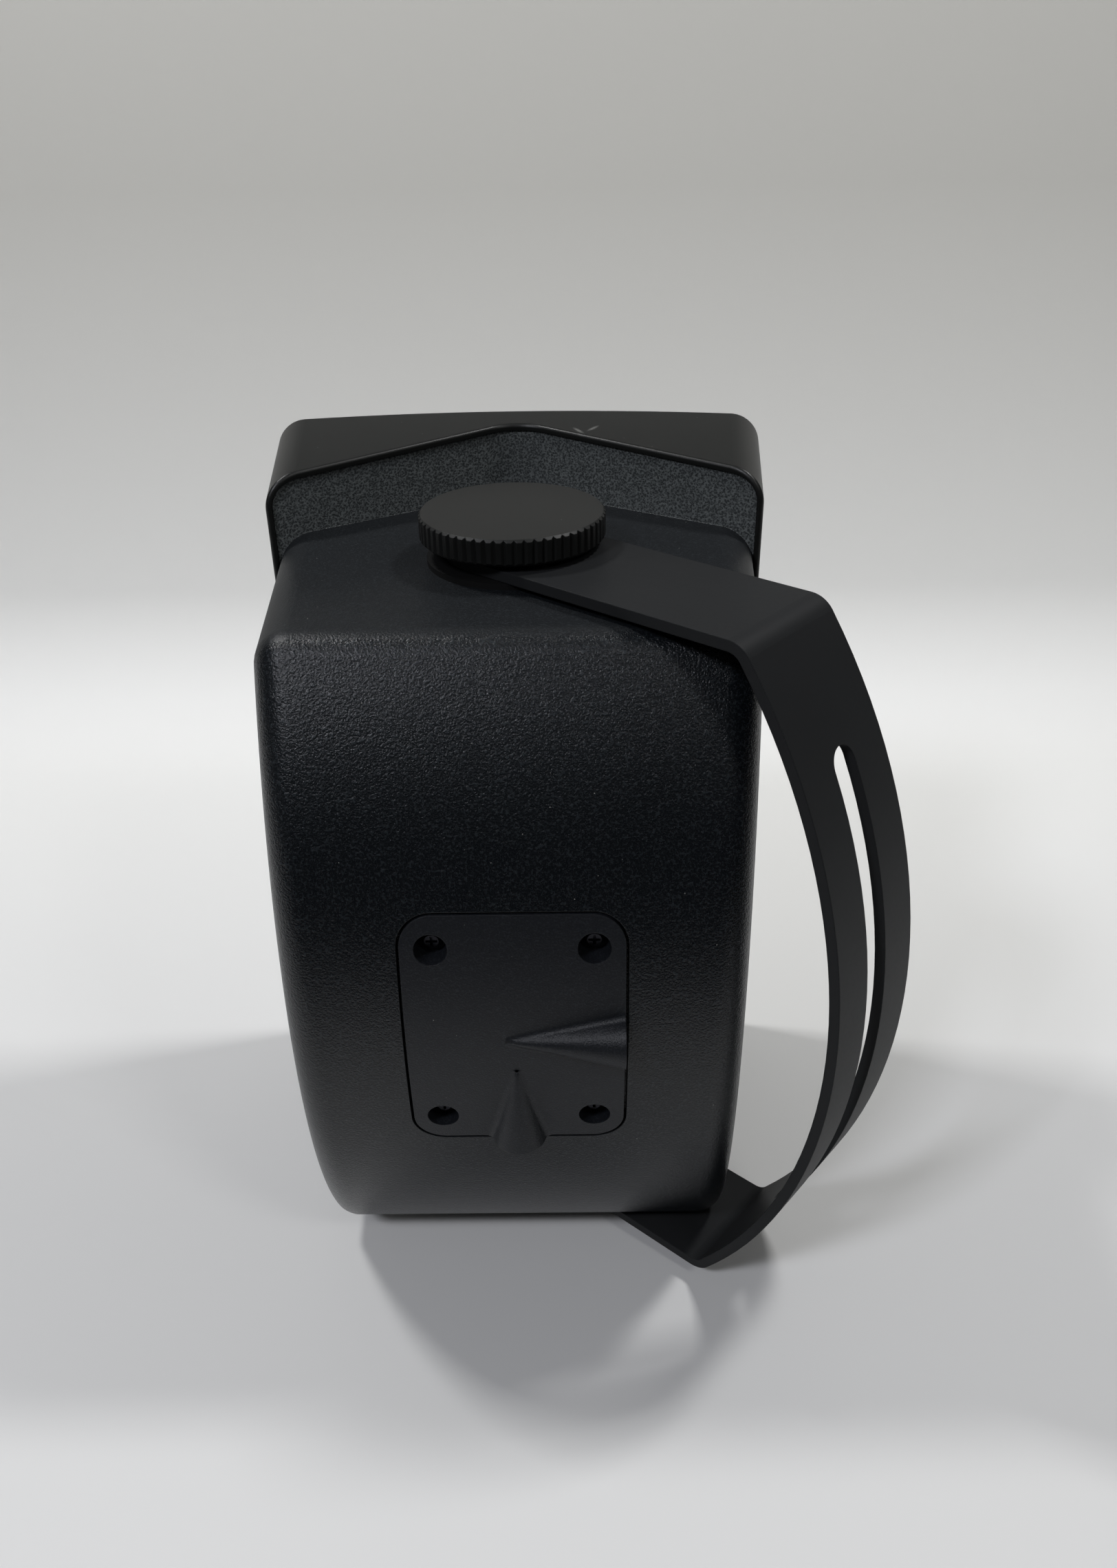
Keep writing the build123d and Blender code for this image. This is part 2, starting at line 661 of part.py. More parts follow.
def cover_screws():
    """The terminal cover's screws, driven from the back."""
    seat = cover_screw_seat() + COVER_BOSS_WALL
    screw = Rot(0, 0, 180) * pan_screw()
    return Compound(children=[Pos(x, seat, z) * screw for x, z in cover_screw_points()])


def terminal_points():
    """Places of the terminal screws on the pocket's floor."""
    pitch = TERMINAL_WIDTH / TERMINAL_POLES
    return [((pole - (TERMINAL_POLES - 1) / 2) * pitch, COVER_Z) for pole in range(TERMINAL_POLES)]


def terminal_block():
    """The barrier block that the speaker cable is screwed to."""
    base = POCKET_FLOOR_Y
    sketch = Pos(0, COVER_Z) * Rectangle(TERMINAL_WIDTH, TERMINAL_HEIGHT)
    block = prism_y(sketch, base, base + TERMINAL_DEPTH)
    pitch = TERMINAL_WIDTH / TERMINAL_POLES
    for x, z in terminal_points():
        well = Pos(x, z) * Rectangle(pitch - TERMINAL_BARRIER, TERMINAL_HEIGHT)
        block -= prism_y(well, base + TERMINAL_DEPTH / 2, FAR)
        block -= rod_y(SCREW_R, base, FAR, x, z)
    return block


def terminal_screws():
    """The brass clamp screws of the terminal block."""
    seat = POCKET_FLOOR_Y + TERMINAL_DEPTH / 2
    shank = rod_y(SCREW_R, seat - TERMINAL_DEPTH / 2, seat, 0, 0)
    head = rod_y(SCREW_HEAD_R, seat, seat + SCREW_HEAD_H, 0, 0)
    slit = prism_y(Rectangle(SCREW_HEAD_R * 2, RECESS_WIDTH), seat + SCREW_HEAD_H - RECESS_DEPTH, FAR)
    screw = head + shank - slit
    return Compound(children=[Pos(x, 0, z) * screw for x, z in terminal_points()])


def woofer_profile(points):
    """Turn (radius, depth behind the seat) points about the woofer's axis."""
    return turned_y([(radius, WOOFER_SEAT_Y + depth) for radius, depth in points], WOOFER_Z)


def woofer_basket():
    """The pressed steel basket with its windows."""
    wall = BASKET_WALL
    basket = woofer_profile(
        [
            (WOOFER_R, -WOOFER_FLANGE),
            (WOOFER_R, 0),
            (BASKET_R, 0),
            (BASKET_R - wall, BASKET_SHOULDER),
            (BASKET_NECK_R, BASKET_NECK),
            (BASKET_NECK_R, BASKET_DEPTH),
            (COIL_R + WINDING_THICK * 2 + wall, BASKET_DEPTH),
            (COIL_R + WINDING_THICK * 2 + wall, BASKET_DEPTH - wall),
            (BASKET_NECK_R - wall, BASKET_DEPTH - wall),
            (BASKET_NECK_R - wall, BASKET_NECK - wall / 2),
            (BASKET_R - wall * 2, BASKET_SHOULDER - wall / 2),
            (BASKET_R - wall, -WOOFER_FLANGE),
        ]
    )
    cutter = prism_y(
        Pos(BASKET_R, 0) * Rectangle(BASKET_R, BASKET_WINDOW_WIDTH),
        WOOFER_SEAT_Y + BASKET_WINDOW_START,
        WOOFER_SEAT_Y + BASKET_NECK - wall * 2,
    )
    for window in range(BASKET_WINDOWS):
        turn = Pos(0, 0, WOOFER_Z) * Rot(0, window * 360.0 / BASKET_WINDOWS, 0)
        basket -= turn * cutter
    for x, z in ring_points(WOOFER_SCREW_R, WOOFER_Z):
        basket -= rod_y(SCREW_R + CLEARANCE, -FAR, FAR, x, z)
    return basket


def woofer_cone():
    """The straight-sided diaphragm."""
    front = -WOOFER_FLANGE + GLUE_GAP
    return woofer_profile(
        [
            (CONE_R, front),
            (CONE_R, front + CONE_THICK),
            (CONE_NECK_R + CONE_THICK, front + CONE_DEPTH),
            (CONE_NECK_R, front + CONE_DEPTH),
            (CONE_NECK_R, front + CONE_DEPTH - CONE_THICK),
            (CONE_R - CONE_THICK * 2, front),
        ]
    )


def cone_depth_at(radius):
    """Depth of the cone's front face at a radius."""
    front = -WOOFER_FLANGE + GLUE_GAP
    outer = CONE_R - CONE_THICK * 2
    share = (outer - radius) / (outer - CONE_NECK_R)
    return front + share * (CONE_DEPTH - CONE_THICK)


def dome_shell(radius, height, thickness, rim_y, z):
    """A spherical cap that bulges to the front, with a flat rim at rim_y."""
    ball = (radius**2 + height**2) / (2 * height)
    centre = rim_y - height + ball
    shell = Pos(0, centre, z) * (Sphere(ball) - Sphere(ball - thickness))
    return shell & rod_y(ball, rim_y - height - thickness, rim_y, 0, z)


def woofer_dust_cap():
    """The domed cap in the middle of the cone."""
    rim = WOOFER_SEAT_Y + cone_depth_at(DUST_CAP_R)
    return dome_shell(DUST_CAP_R, DUST_CAP_HEIGHT, CONE_THICK, rim, WOOFER_Z)


def woofer_surround():
    """The half-roll rubber edge between the cone and the basket."""
    base = -WOOFER_FLANGE
    inner = CONE_R
    outer = BASKET_R - BASKET_WALL
    middle = (inner + outer) / 2
    half = (outer - inner) / 2
    seat = WOOFER_SEAT_Y + base

    def roll(reach, height):
        """Half-round section, closed along its flat side."""
        arc = ThreePointArc((middle - reach, seat), (middle, seat - height), (middle + reach, seat))
        return make_face([arc, Line((middle + reach, seat), (middle - reach, seat))])

    lips = Polyline(
        (inner - ROLL_LIP, seat),
        (outer + ROLL_LIP, seat),
        (outer + ROLL_LIP, seat - ROLL_THICK),
        (inner - ROLL_LIP, seat - ROLL_THICK),
        close=True,
    )
    section = make_face(lips) + roll(half + ROLL_THICK, ROLL_HEIGHT + ROLL_THICK) - roll(half, ROLL_HEIGHT)
    return Pos(0, 0, WOOFER_Z) * revolve(section, Axis.Y)


def woofer_coil_former():
    """The thin tube that carries the winding."""
    start = -WOOFER_FLANGE + GLUE_GAP + CONE_DEPTH - FORMER_OVERLAP
    return woofer_profile(
        [
            (COIL_R, start),
            (COIL_R, start + COIL_LENGTH),
            (COIL_R - COIL_WALL, start + COIL_LENGTH),
            (COIL_R - COIL_WALL, start),
        ]
    )


def winding_start():
    """Depth where the winding starts, centred on the top plate."""
    return BASKET_DEPTH + TOP_PLATE_THICK / 2 - WINDING_LENGTH / 2


def woofer_winding():
    """The voice coil's copper winding."""
    start = winding_start()
    return woofer_profile(
        [
            (COIL_R, start),
            (COIL_R + WINDING_THICK, start),
            (COIL_R + WINDING_THICK, start + WINDING_LENGTH),
            (COIL_R, start + WINDING_LENGTH),
        ]
    )


def woofer_spider():
    """The corrugated cloth disc that centres the coil."""
    inner = COIL_R
    outer = BASKET_NECK_R - BASKET_WALL
    level = BASKET_NECK - BASKET_WALL * 2
    step = (outer - inner) / (SPIDER_WAVES * 2)
    front = []
    back = []
    for point in range(SPIDER_WAVES * 2 + 1):
        wave = SPIDER_WAVE if point % 2 else 0.0
        front.append((inner + point * step, level - wave))
        back.append((inner + point * step, level - wave + SPIDER_THICK))
    return woofer_profile(front + back[::-1])


def woofer_top_plate():
    """The steel ring in front of the magnet."""
    start = BASKET_DEPTH
    hole = COIL_R + WINDING_THICK + GAP_CLEARANCE
    return woofer_profile(
        [
            (hole, start),
            (TOP_PLATE_R, start),
            (TOP_PLATE_R, start + TOP_PLATE_THICK),
            (hole, start + TOP_PLATE_THICK),
        ]
    )


def woofer_magnet():
    """The ferrite ring magnet."""
    start = BASKET_DEPTH + TOP_PLATE_THICK
    return woofer_profile(
        [
            (MAGNET_HOLE_R, start),
            (MAGNET_R, start),
            (MAGNET_R, start + MAGNET_THICK),
            (MAGNET_HOLE_R, start + MAGNET_THICK),
        ]
    )


def woofer_yoke():
    """The back plate and vented pole, one turned piece."""
    pole = COIL_R - COIL_WALL - GAP_CLEARANCE
    start = BASKET_DEPTH
    back = BASKET_DEPTH + TOP_PLATE_THICK + MAGNET_THICK
    return woofer_profile(
        [
            (POLE_VENT_R, start),
            (pole, start),
            (pole, back),
            (TOP_PLATE_R, back),
            (TOP_PLATE_R, back + YOKE_THICK),
            (POLE_VENT_R, back + YOKE_THICK),
        ]
    )


def tweeter_profile(points):
    """Turn (radius, depth behind the seat) points about the tweeter's axis."""
    return turned_y([(radius, TWEETER_SEAT_Y + depth) for radius, depth in points], TWEETER_Z)


def tweeter_plate():
    """The tweeter's faceplate with its shallow horn."""
    plate = tweeter_profile(
        [
            (DOME_ROLL_R, 0),
            (TWEETER_R, 0),
            (TWEETER_R, -TWEETER_PLATE),
            (HORN_R, -TWEETER_PLATE),
            (DOME_ROLL_R, -HORN_LIP),
        ]
    )
    for x, z in ring_points(TWEETER_SCREW_R, TWEETER_Z):
        plate -= rod_y(SCREW_R + CLEARANCE, -FAR, FAR, x, z)
    return plate


def tweeter_dome():
    """The soft dome and its roll, pressed from one sheet."""
    rim = TWEETER_SEAT_Y
    dome = dome_shell(DOME_R, DOME_HEIGHT, DOME_THICK, rim, TWEETER_Z)
    skirt = tweeter_profile(
        [
            (DOME_R - DOME_THICK, -DOME_THICK),
            (DOME_ROLL_R, -DOME_THICK),
            (DOME_ROLL_R, 0),
            (DOME_R - DOME_THICK, 0),
        ]
    )
    return dome + skirt


def tweeter_coil():
    """The tweeter's voice coil."""
    end = TWEETER_TOP_PLATE + TWEETER_POLE_CLEARANCE
    radius = DOME_R - DOME_THICK
    return tweeter_profile(
        [(radius, 0), (radius + TWEETER_COIL_WALL, 0), (radius + TWEETER_COIL_WALL, end), (radius, end)]
    )


def tweeter_top_plate():
    """The tweeter's front magnet plate."""
    hole = DOME_R - DOME_THICK + TWEETER_COIL_WALL + TWEETER_POLE_CLEARANCE
    return tweeter_profile(
        [(hole, 0), (TWEETER_BODY_R, 0), (TWEETER_BODY_R, TWEETER_TOP_PLATE), (hole, TWEETER_TOP_PLATE)]
    )


def tweeter_magnet():
    """The tweeter's ring magnet."""
    start = TWEETER_TOP_PLATE
    end = start + TWEETER_MAGNET
    return tweeter_profile(
        [(DOME_ROLL_R, start), (TWEETER_BODY_R, start), (TWEETER_BODY_R, end), (DOME_ROLL_R, end)]
    )


def tweeter_yoke():
    """The tweeter's back plate and pole."""
    pole = DOME_R - DOME_THICK - TWEETER_POLE_CLEARANCE
    back = TWEETER_TOP_PLATE + TWEETER_MAGNET
    end = back + TWEETER_BACK_PLATE
    return tweeter_profile(
        [
            (0, DOME_THICK),
            (pole, DOME_THICK),
            (pole, back),
            (TWEETER_BODY_R, back),
            (TWEETER_BODY_R, end),
            (0, end),
        ]
    )


BOARD_Z = TUB_BOTTOM + TUB_WALL + BOARD_POST
BOARD_TOP = BOARD_Z + BOARD_THICK


def crossover_board():
    """The crossover's circuit board."""
    board = Pos(0, BOARD_Y, BOARD_Z + BOARD_THICK / 2) * Box(BOARD_WIDTH, BOARD_DEPTH, BOARD_THICK)
    for x, y in board_screw_points():
        board -= Pos(x, y, BOARD_Z) * Cylinder(SCREW_R + CLEARANCE, BOARD_POST)
    return board


def board_screws():
    """The board's screws, driven down into the cabinet's posts."""
    length = BOARD_THICK + BOARD_POST
    head = Pos(0, 0, BOARD_TOP + SCREW_HEAD_H / 2) * Cylinder(SCREW_HEAD_R, SCREW_HEAD_H)
    screw = head + Pos(0, 0, BOARD_TOP - length / 2) * Cylinder(SCREW_R, length)
    return Compound(children=[Pos(x, y, 0) * screw for x, y in board_screw_points()])


def crossover_coil():
    """The low-pass inductor, wound on a flanged bobbin."""
    top = BOARD_TOP + COIL_FORM_H
    return Pos(COIL_FORM_X, BOARD_Y, 0) * turned_z(
        [
            (COIL_FORM_HOLE_R, BOARD_TOP),
            (COIL_FORM_R, BOARD_TOP),
            (COIL_FORM_R, BOARD_TOP + COIL_FORM_WALL),
            (COIL_WINDING_R, BOARD_TOP + COIL_FORM_WALL),
            (COIL_WINDING_R, top - COIL_FORM_WALL),
            (COIL_FORM_R, top - COIL_FORM_WALL),
            (COIL_FORM_R, top),
            (COIL_FORM_HOLE_R, top),
        ]
    )


def crossover_capacitors():
    """The two film capacitors, lying on the board."""
    bodies = []
    for side in (-1, 1):
        y = BOARD_Y + side * CAPACITOR_PITCH / 2
        place = Pos(CAPACITOR_X, y, BOARD_TOP + CAPACITOR_R) * Rot(0, 90, 0)
        bodies.append(place * Cylinder(CAPACITOR_R, CAPACITOR_LENGTH))
    return Compound(children=bodies)


def crossover_resistor():
    """The cement power resistor."""
    width, depth, height = RESISTOR_SIZE
    x = COIL_FORM_X - COIL_FORM_R - width / 2 - RESISTOR_GAP
    return Pos(x, BOARD_Y, BOARD_TOP + height / 2) * Box(width, depth, height)


pieces = {
    "cabinet_tub": cabinet_tub(),
    "front_frame": front_frame(),
    "grille": grille(),
    "frame_screws": frame_screws(),
    "bracket": bracket(),
    "lower_pad": lower_pad(),
    "upper_pad": at_top(lower_pad()),
    "lower_washer": lower_washer(),
    "upper_washer": at_top(lower_washer()),
    "lower_knob": lower_knob(),
    "upper_knob": at_top(lower_knob()),
    "lower_stud": lower_stud(),
    "upper_stud": at_top(lower_stud()),
    "lower_insert": lower_insert(),
    "upper_insert": at_top(lower_insert()),
    "terminal_cover": terminal_cover(),
    "cover_seal": cover_seal(),
    "cover_screws": cover_screws(),
    "cable_grommets": cable_grommets(),
    "terminal_block": terminal_block(),
    "terminal_screws": terminal_screws(),
    "woofer_basket": woofer_basket(),
    "woofer_screws": screw_group(ring_points(WOOFER_SCREW_R, WOOFER_Z), WOOFER_SEAT_Y - WOOFER_FLANGE),
    "woofer_cone": woofer_cone(),
    "woofer_dust_cap": woofer_dust_cap(),
    "woofer_surround": woofer_surround(),
    "woofer_coil_former": woofer_coil_former(),
    "woofer_winding": woofer_winding(),
    "woofer_spider": woofer_spider(),
    "woofer_top_plate": woofer_top_plate(),
    "woofer_magnet": woofer_magnet(),
    "woofer_yoke": woofer_yoke(),
    "tweeter_plate": tweeter_plate(),
    "tweeter_screws": screw_group(ring_points(TWEETER_SCREW_R, TWEETER_Z), TWEETER_SEAT_Y - TWEETER_PLATE),
    "tweeter_dome": tweeter_dome(),
    "tweeter_coil": tweeter_coil(),
    "tweeter_top_plate": tweeter_top_plate(),
    "tweeter_magnet": tweeter_magnet(),
    "tweeter_yoke": tweeter_yoke(),
    "crossover_board": crossover_board(),
    "board_screws": board_screws(),
    "crossover_coil": crossover_coil(),
    "crossover_capacitors": crossover_capacitors(),
    "crossover_resistor": crossover_resistor(),
}

os.makedirs("parts", exist_ok=True)
for name, shape in pieces.items():
    export_step(shape, f"parts/{name}.step")
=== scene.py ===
# %% [markdown]
# # An outdoor patio speaker on its swivel bracket
# The solids of this speaker come from a CAD model, packed as one frame. Blender adds what CAD leaves
# plain: the grille's holes, the grain of the moulded plastic, the powder coat on the bracket, the dust,
# the light and the camera. The CAD pieces are never moved here. Each cell below explains one step before
# it is done.

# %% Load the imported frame
import math

import bpy
from mathutils import Matrix, Vector


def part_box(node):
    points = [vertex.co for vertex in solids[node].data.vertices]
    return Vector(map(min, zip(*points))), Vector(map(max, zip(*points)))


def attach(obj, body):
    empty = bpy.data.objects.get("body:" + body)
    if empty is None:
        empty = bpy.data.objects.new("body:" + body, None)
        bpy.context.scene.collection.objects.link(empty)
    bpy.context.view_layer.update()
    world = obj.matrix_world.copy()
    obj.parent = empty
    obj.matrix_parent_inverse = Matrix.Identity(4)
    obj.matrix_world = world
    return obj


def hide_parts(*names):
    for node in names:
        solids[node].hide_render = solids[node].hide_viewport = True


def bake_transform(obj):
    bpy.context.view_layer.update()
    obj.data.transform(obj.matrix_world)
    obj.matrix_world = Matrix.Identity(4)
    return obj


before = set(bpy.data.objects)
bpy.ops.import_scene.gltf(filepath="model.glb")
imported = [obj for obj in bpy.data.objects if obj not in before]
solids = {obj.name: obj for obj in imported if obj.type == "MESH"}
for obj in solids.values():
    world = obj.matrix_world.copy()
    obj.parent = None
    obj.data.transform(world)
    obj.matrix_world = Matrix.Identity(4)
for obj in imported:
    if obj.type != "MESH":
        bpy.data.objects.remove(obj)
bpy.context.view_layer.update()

MM = 0.001

# %% [markdown]
# ## The camera
# The photograph was taken from behind and above, with the wide lens of a hand-held camera. Its place was
# worked out from points on the speaker whose sizes are known, so the camera can simply be put there. It
# could also be aimed by hand or with a Track To constraint, but neither gives back the small roll of a
# hand-held shot. A camera in Blender looks along its own -Z axis with +Y up, so its matrix is built from
# three directions: right, up and backwards. Pitch, turn and roll are in radians.

# %% Place the camera
CAMERA_PLACE = Vector((-16.5, 386.5, 396.2)) * MM
CAMERA_PITCH = 0.52955
CAMERA_TURN = -0.00761
CAMERA_ROLL = -0.01552
CAMERA_LENS = 28.506
SENSOR_WIDTH = 36.0
CLIP_START = 10 * MM

ahead = Vector((
    -math.sin(CAMERA_TURN) * math.cos(CAMERA_PITCH),
    -math.cos(CAMERA_TURN) * math.cos(CAMERA_PITCH),
    -math.sin(CAMERA_PITCH),
))
level_right = Vector((-math.cos(CAMERA_TURN), math.sin(CAMERA_TURN), 0.0))
level_up = level_right.cross(ahead)
right = level_right * math.cos(CAMERA_ROLL) + level_up * math.sin(CAMERA_ROLL)
up = level_up * math.cos(CAMERA_ROLL) - level_right * math.sin(CAMERA_ROLL)

camera_data = bpy.data.cameras.new("photo_camera")
camera_data.lens = CAMERA_LENS
camera_data.sensor_width = SENSOR_WIDTH
camera_data.clip_start = CLIP_START
camera = bpy.data.objects.new("photo_camera", camera_data)
bpy.context.collection.objects.link(camera)
turn = Matrix((right, up, -ahead)).transposed()
camera.matrix_world = Matrix.Translation(CAMERA_PLACE) @ turn.to_4x4()
bpy.context.scene.camera = camera
print("camera looks along", [round(v, 3) for v in ahead])

# %% [markdown]
# ## Helpers for materials
# Colours are written as the hex values that a paint program shows, which are sRGB. Shaders work with
# linear light, so one function turns the first into the second. A node tree can be drawn by hand in the
# Shader Editor or written as code. Here one function adds a node, sets its values and plugs its inputs in,
# so that each material below reads as a list of steps. Three more start a material, connect its shader and
# give it to CAD pieces.

# %% Colour and node helpers
def linear(hex_colour):
    """sRGB hex, such as '#0C0D0F', to the linear RGBA that a shader socket holds."""
    values = [int(hex_colour[i:i + 2], 16) / 255 for i in (1, 3, 5)]
    return [v / 12.92 if v <= 0.04045 else ((v + 0.055) / 1.055) ** 2.4 for v in values] + [1.0]


def add_node(tree, kind, settings=(), links=()):
    """Add a shader node, give its sockets or options their values and link its inputs."""
    node = tree.nodes.new(kind)
    for name, value in dict(settings).items():
        if isinstance(name, int) or name in node.inputs:
            node.inputs[name].default_value = value
        else:
            setattr(node, name, value)
    for name, (source, output) in dict(links).items():
        tree.links.new(source.outputs[output], node.inputs[name])
    return node


def new_material(name, settings):
    """A material with one Principled shader, its constant values set on the shader's own sockets."""
    material = bpy.data.materials.new(name)
    material.use_nodes = True
    tree = material.node_tree
    tree.nodes.clear()
    shader = add_node(tree, "ShaderNodeBsdfPrincipled", settings)
    add_node(tree, "ShaderNodeOutputMaterial", links={"Surface": (shader, "BSDF")})
    return material, tree, shader


def connect(tree, shader, tone, rough, bump):
    """Plug a colour, a roughness and a normal into the shader."""
    for socket, node, output in (("Base Color", tone, 2), ("Roughness", rough, 0), ("Normal", bump, 0)):
        tree.links.new(node.outputs[output], shader.inputs[socket])


def finish_with(material, *names):
    """Give CAD pieces a finished material in place of their plain one."""
    for name in names:
        solid = solids[name]
        solid.data.materials.clear()
        solid.data.materials.append(material)
    print(material.name, "on", ", ".join(names))


# %% [markdown]
# ## Moulded ABS
# The cabinet, its cover, the frame and the knobs are ABS, injection moulded in steel tools. The tool's
# walls are etched or spark-eroded, and the plastic copies that: a field of tiny round bumps that breaks up
# reflections into sparkle. ABS has an index of refraction of about 1.53. A grain of bumps is a Voronoi
# pattern, softened by noise. The size of a bump is given in millimetres, and the pattern's scale is one
# over that size in metres.
#
# A face that slides along the tool as the part is drawn out has a shallower grain, or it would scrape. The
# draw is along Y here, so the share of grain follows the Y part of the surface normal, and such faces are
# rougher and duller. The crests of the grain get a slightly paler tone on the cabinet and the cover, a
# painted glint for the sparkle of light on them, and a paler one still on the wall behind the frame, a
# painted glint that makes that wall look brighter. A few dust specks lie everywhere, and the frame has a
# small scuff of two pale strokes, each a stretched ellipse at a place and an angle. The grain could be real
# geometry, but bumps this small would need millions of faces.

# %% A function for the moulded finishes
ABS_INDEX = 1.53
ABS_EDGE = 0.35 * MM
ABS_CLOUD = 45 * MM
DRAWN_NORMAL, FACING_NORMAL = 0.2, 0.5
DRAWN_ROUGHNESS = 0.5
CREST_LOW, CREST_HIGH = 0.95, 1.25
WALL_FROM, WALL_TO = -12 * MM, -18 * MM
SCUFF_SIZE = (4 * MM, 1 * MM, 4 * MM)
SCUFF_COLOUR = "#666663"
DUST_SPACING = 7 * MM
DUST_COLOUR = "#A9A8A2"


def moulded_abs(name, colour, pale, roughness, gloss, grain_mm, grain_depth_mm, drawn=1.0, dust=0.4,
                painted_crest_glint=None, painted_wall_glint=None, scuffs=()):
    """Etched or spark-eroded ABS. drawn is the share of grain that faces along the mould's draw keep."""
    material, tree, shader = new_material(name, {"IOR": ABS_INDEX, "Specular IOR Level": gloss})
    place = add_node(tree, "ShaderNodeTexCoord")

    # The grain and its share.
    cells = add_node(tree, "ShaderNodeTexVoronoi", {"Scale": 1 / (grain_mm * MM), "feature": "SMOOTH_F1"},
                     {"Vector": (place, "Object")})
    fine = add_node(tree, "ShaderNodeTexNoise", {"Scale": 2 / (grain_mm * MM), "Detail": 2.0},
                    {"Vector": (place, "Object")})
    height = add_node(tree, "ShaderNodeMath", {"operation": "ADD"},
                      {0: (cells, "Distance"), 1: (fine, "Fac")})
    surface = add_node(tree, "ShaderNodeNewGeometry")
    facing = add_node(tree, "ShaderNodeSeparateXYZ", links={0: (surface, "Normal")})
    share = add_node(tree, "ShaderNodeMapRange", {1: DRAWN_NORMAL, 2: FACING_NORMAL, 3: drawn, 4: 1.0},
                     {0: (facing, "Y")})
    edge = add_node(tree, "ShaderNodeBevel", {"Radius": ABS_EDGE, "samples": 4})
    bump = add_node(tree, "ShaderNodeBump", {"Distance": grain_depth_mm * MM},
                    {"Height": (height, "Value"), "Strength": (share, "Result"), "Normal": (edge, "Normal")})

    # The plain tone and the roughness.
    cloud = add_node(tree, "ShaderNodeTexNoise", {"Scale": 1 / ABS_CLOUD, "Detail": 3.0},
                     {"Vector": (place, "Object")})
    tone = add_node(tree, "ShaderNodeMix", {"data_type": "RGBA", 6: linear(colour), 7: linear(pale)},
                    {0: (cloud, "Fac")})
    uneven = add_node(tree, "ShaderNodeMapRange", {3: roughness - 0.04, 4: roughness + 0.05},
                      {0: (fine, "Fac")})
    matt = add_node(
        tree, "ShaderNodeMapRange",
        {1: DRAWN_NORMAL, 2: FACING_NORMAL, 3: DRAWN_ROUGHNESS * (1 - drawn), 4: 0.0}, {0: (facing, "Y")})
    rough = add_node(tree, "ShaderNodeMath", {"operation": "ADD"},
                     {0: (uneven, "Result"), 1: (matt, "Result")})

    # Painted glints on the grain's crests and on the wall behind the frame, then scuffs
    # and dust, lie over the plain tone in turn.
    # Painted glint: the crests of the grain are made paler where light would sparkle on them.
    if painted_crest_glint:
        crests = add_node(tree, "ShaderNodeMapRange", {1: CREST_LOW, 2: CREST_HIGH}, {0: (height, "Value")})
        crest_glint_share = add_node(tree, "ShaderNodeMath", {"operation": "MULTIPLY"},
                         {0: (crests, "Result"), 1: (share, "Result")})
        tone = add_node(tree, "ShaderNodeMix", {"data_type": "RGBA", 7: linear(painted_crest_glint)},
                        {0: (crest_glint_share, "Value"), 6: (tone, 2)})
    # Painted glint: on the wall behind the frame the crests are made paler still, so that wall looks
    # brighter.
    if painted_wall_glint:
        where = add_node(tree, "ShaderNodeSeparateXYZ", links={0: (place, "Object")})
        behind = add_node(tree, "ShaderNodeMapRange", {1: WALL_FROM, 2: WALL_TO}, {0: (where, "Y")})
        upright = add_node(tree, "ShaderNodeMapRange", {1: 0.5, 2: 0.75}, {0: (facing, "Y")})
        peaks = add_node(tree, "ShaderNodeMapRange", {1: 0.75, 2: 1.15, 3: 0.25, 4: 1.0},
                         {0: (height, "Value")})
        on_wall = add_node(tree, "ShaderNodeMath", {"operation": "MULTIPLY"},
                           {0: (behind, "Result"), 1: (upright, "Result")})
        glint = add_node(tree, "ShaderNodeMath", {"operation": "MULTIPLY"},
                         {0: (on_wall, "Value"), 1: (peaks, "Result")})
        tone = add_node(tree, "ShaderNodeMix", {"data_type": "RGBA", 7: linear(painted_wall_glint)},
                        {0: (glint, "Value"), 6: (tone, 2)})
    for x, y, z, angle in scuffs:
        stroke = add_node(tree, "ShaderNodeMapping", {
            "vector_type": "TEXTURE", "Location": (x * MM, y * MM, z * MM),
            "Rotation": (0, 0, math.radians(angle)), "Scale": SCUFF_SIZE,
        }, {"Vector": (place, "Object")})
        away = add_node(tree, "ShaderNodeVectorMath", {"operation": "LENGTH"}, {0: (stroke, "Vector")})
        rubbed = add_node(tree, "ShaderNodeMapRange", {1: 0.2, 2: 1.0, 3: 0.75, 4: 0.0},
                          {0: (away, "Value")})
        tone = add_node(tree, "ShaderNodeMix", {"data_type": "RGBA", 7: linear(SCUFF_COLOUR)},
                        {0: (rubbed, "Result"), 6: (tone, 2)})
    specks = add_node(tree, "ShaderNodeTexVoronoi", {"Scale": 1 / DUST_SPACING, "Randomness": 1.0},
                      {"Vector": (place, "Object")})
    spot = add_node(tree, "ShaderNodeMapRange", {1: 0.022, 2: 0.03, 3: dust, 4: 0.0},
                    {0: (specks, "Distance")})
    dusty = add_node(tree, "ShaderNodeMix", {"data_type": "RGBA", 7: linear(DUST_COLOUR)},
                     {0: (spot, "Result"), 6: (tone, 2)})
    connect(tree, shader, dusty, rough, bump)
    return material


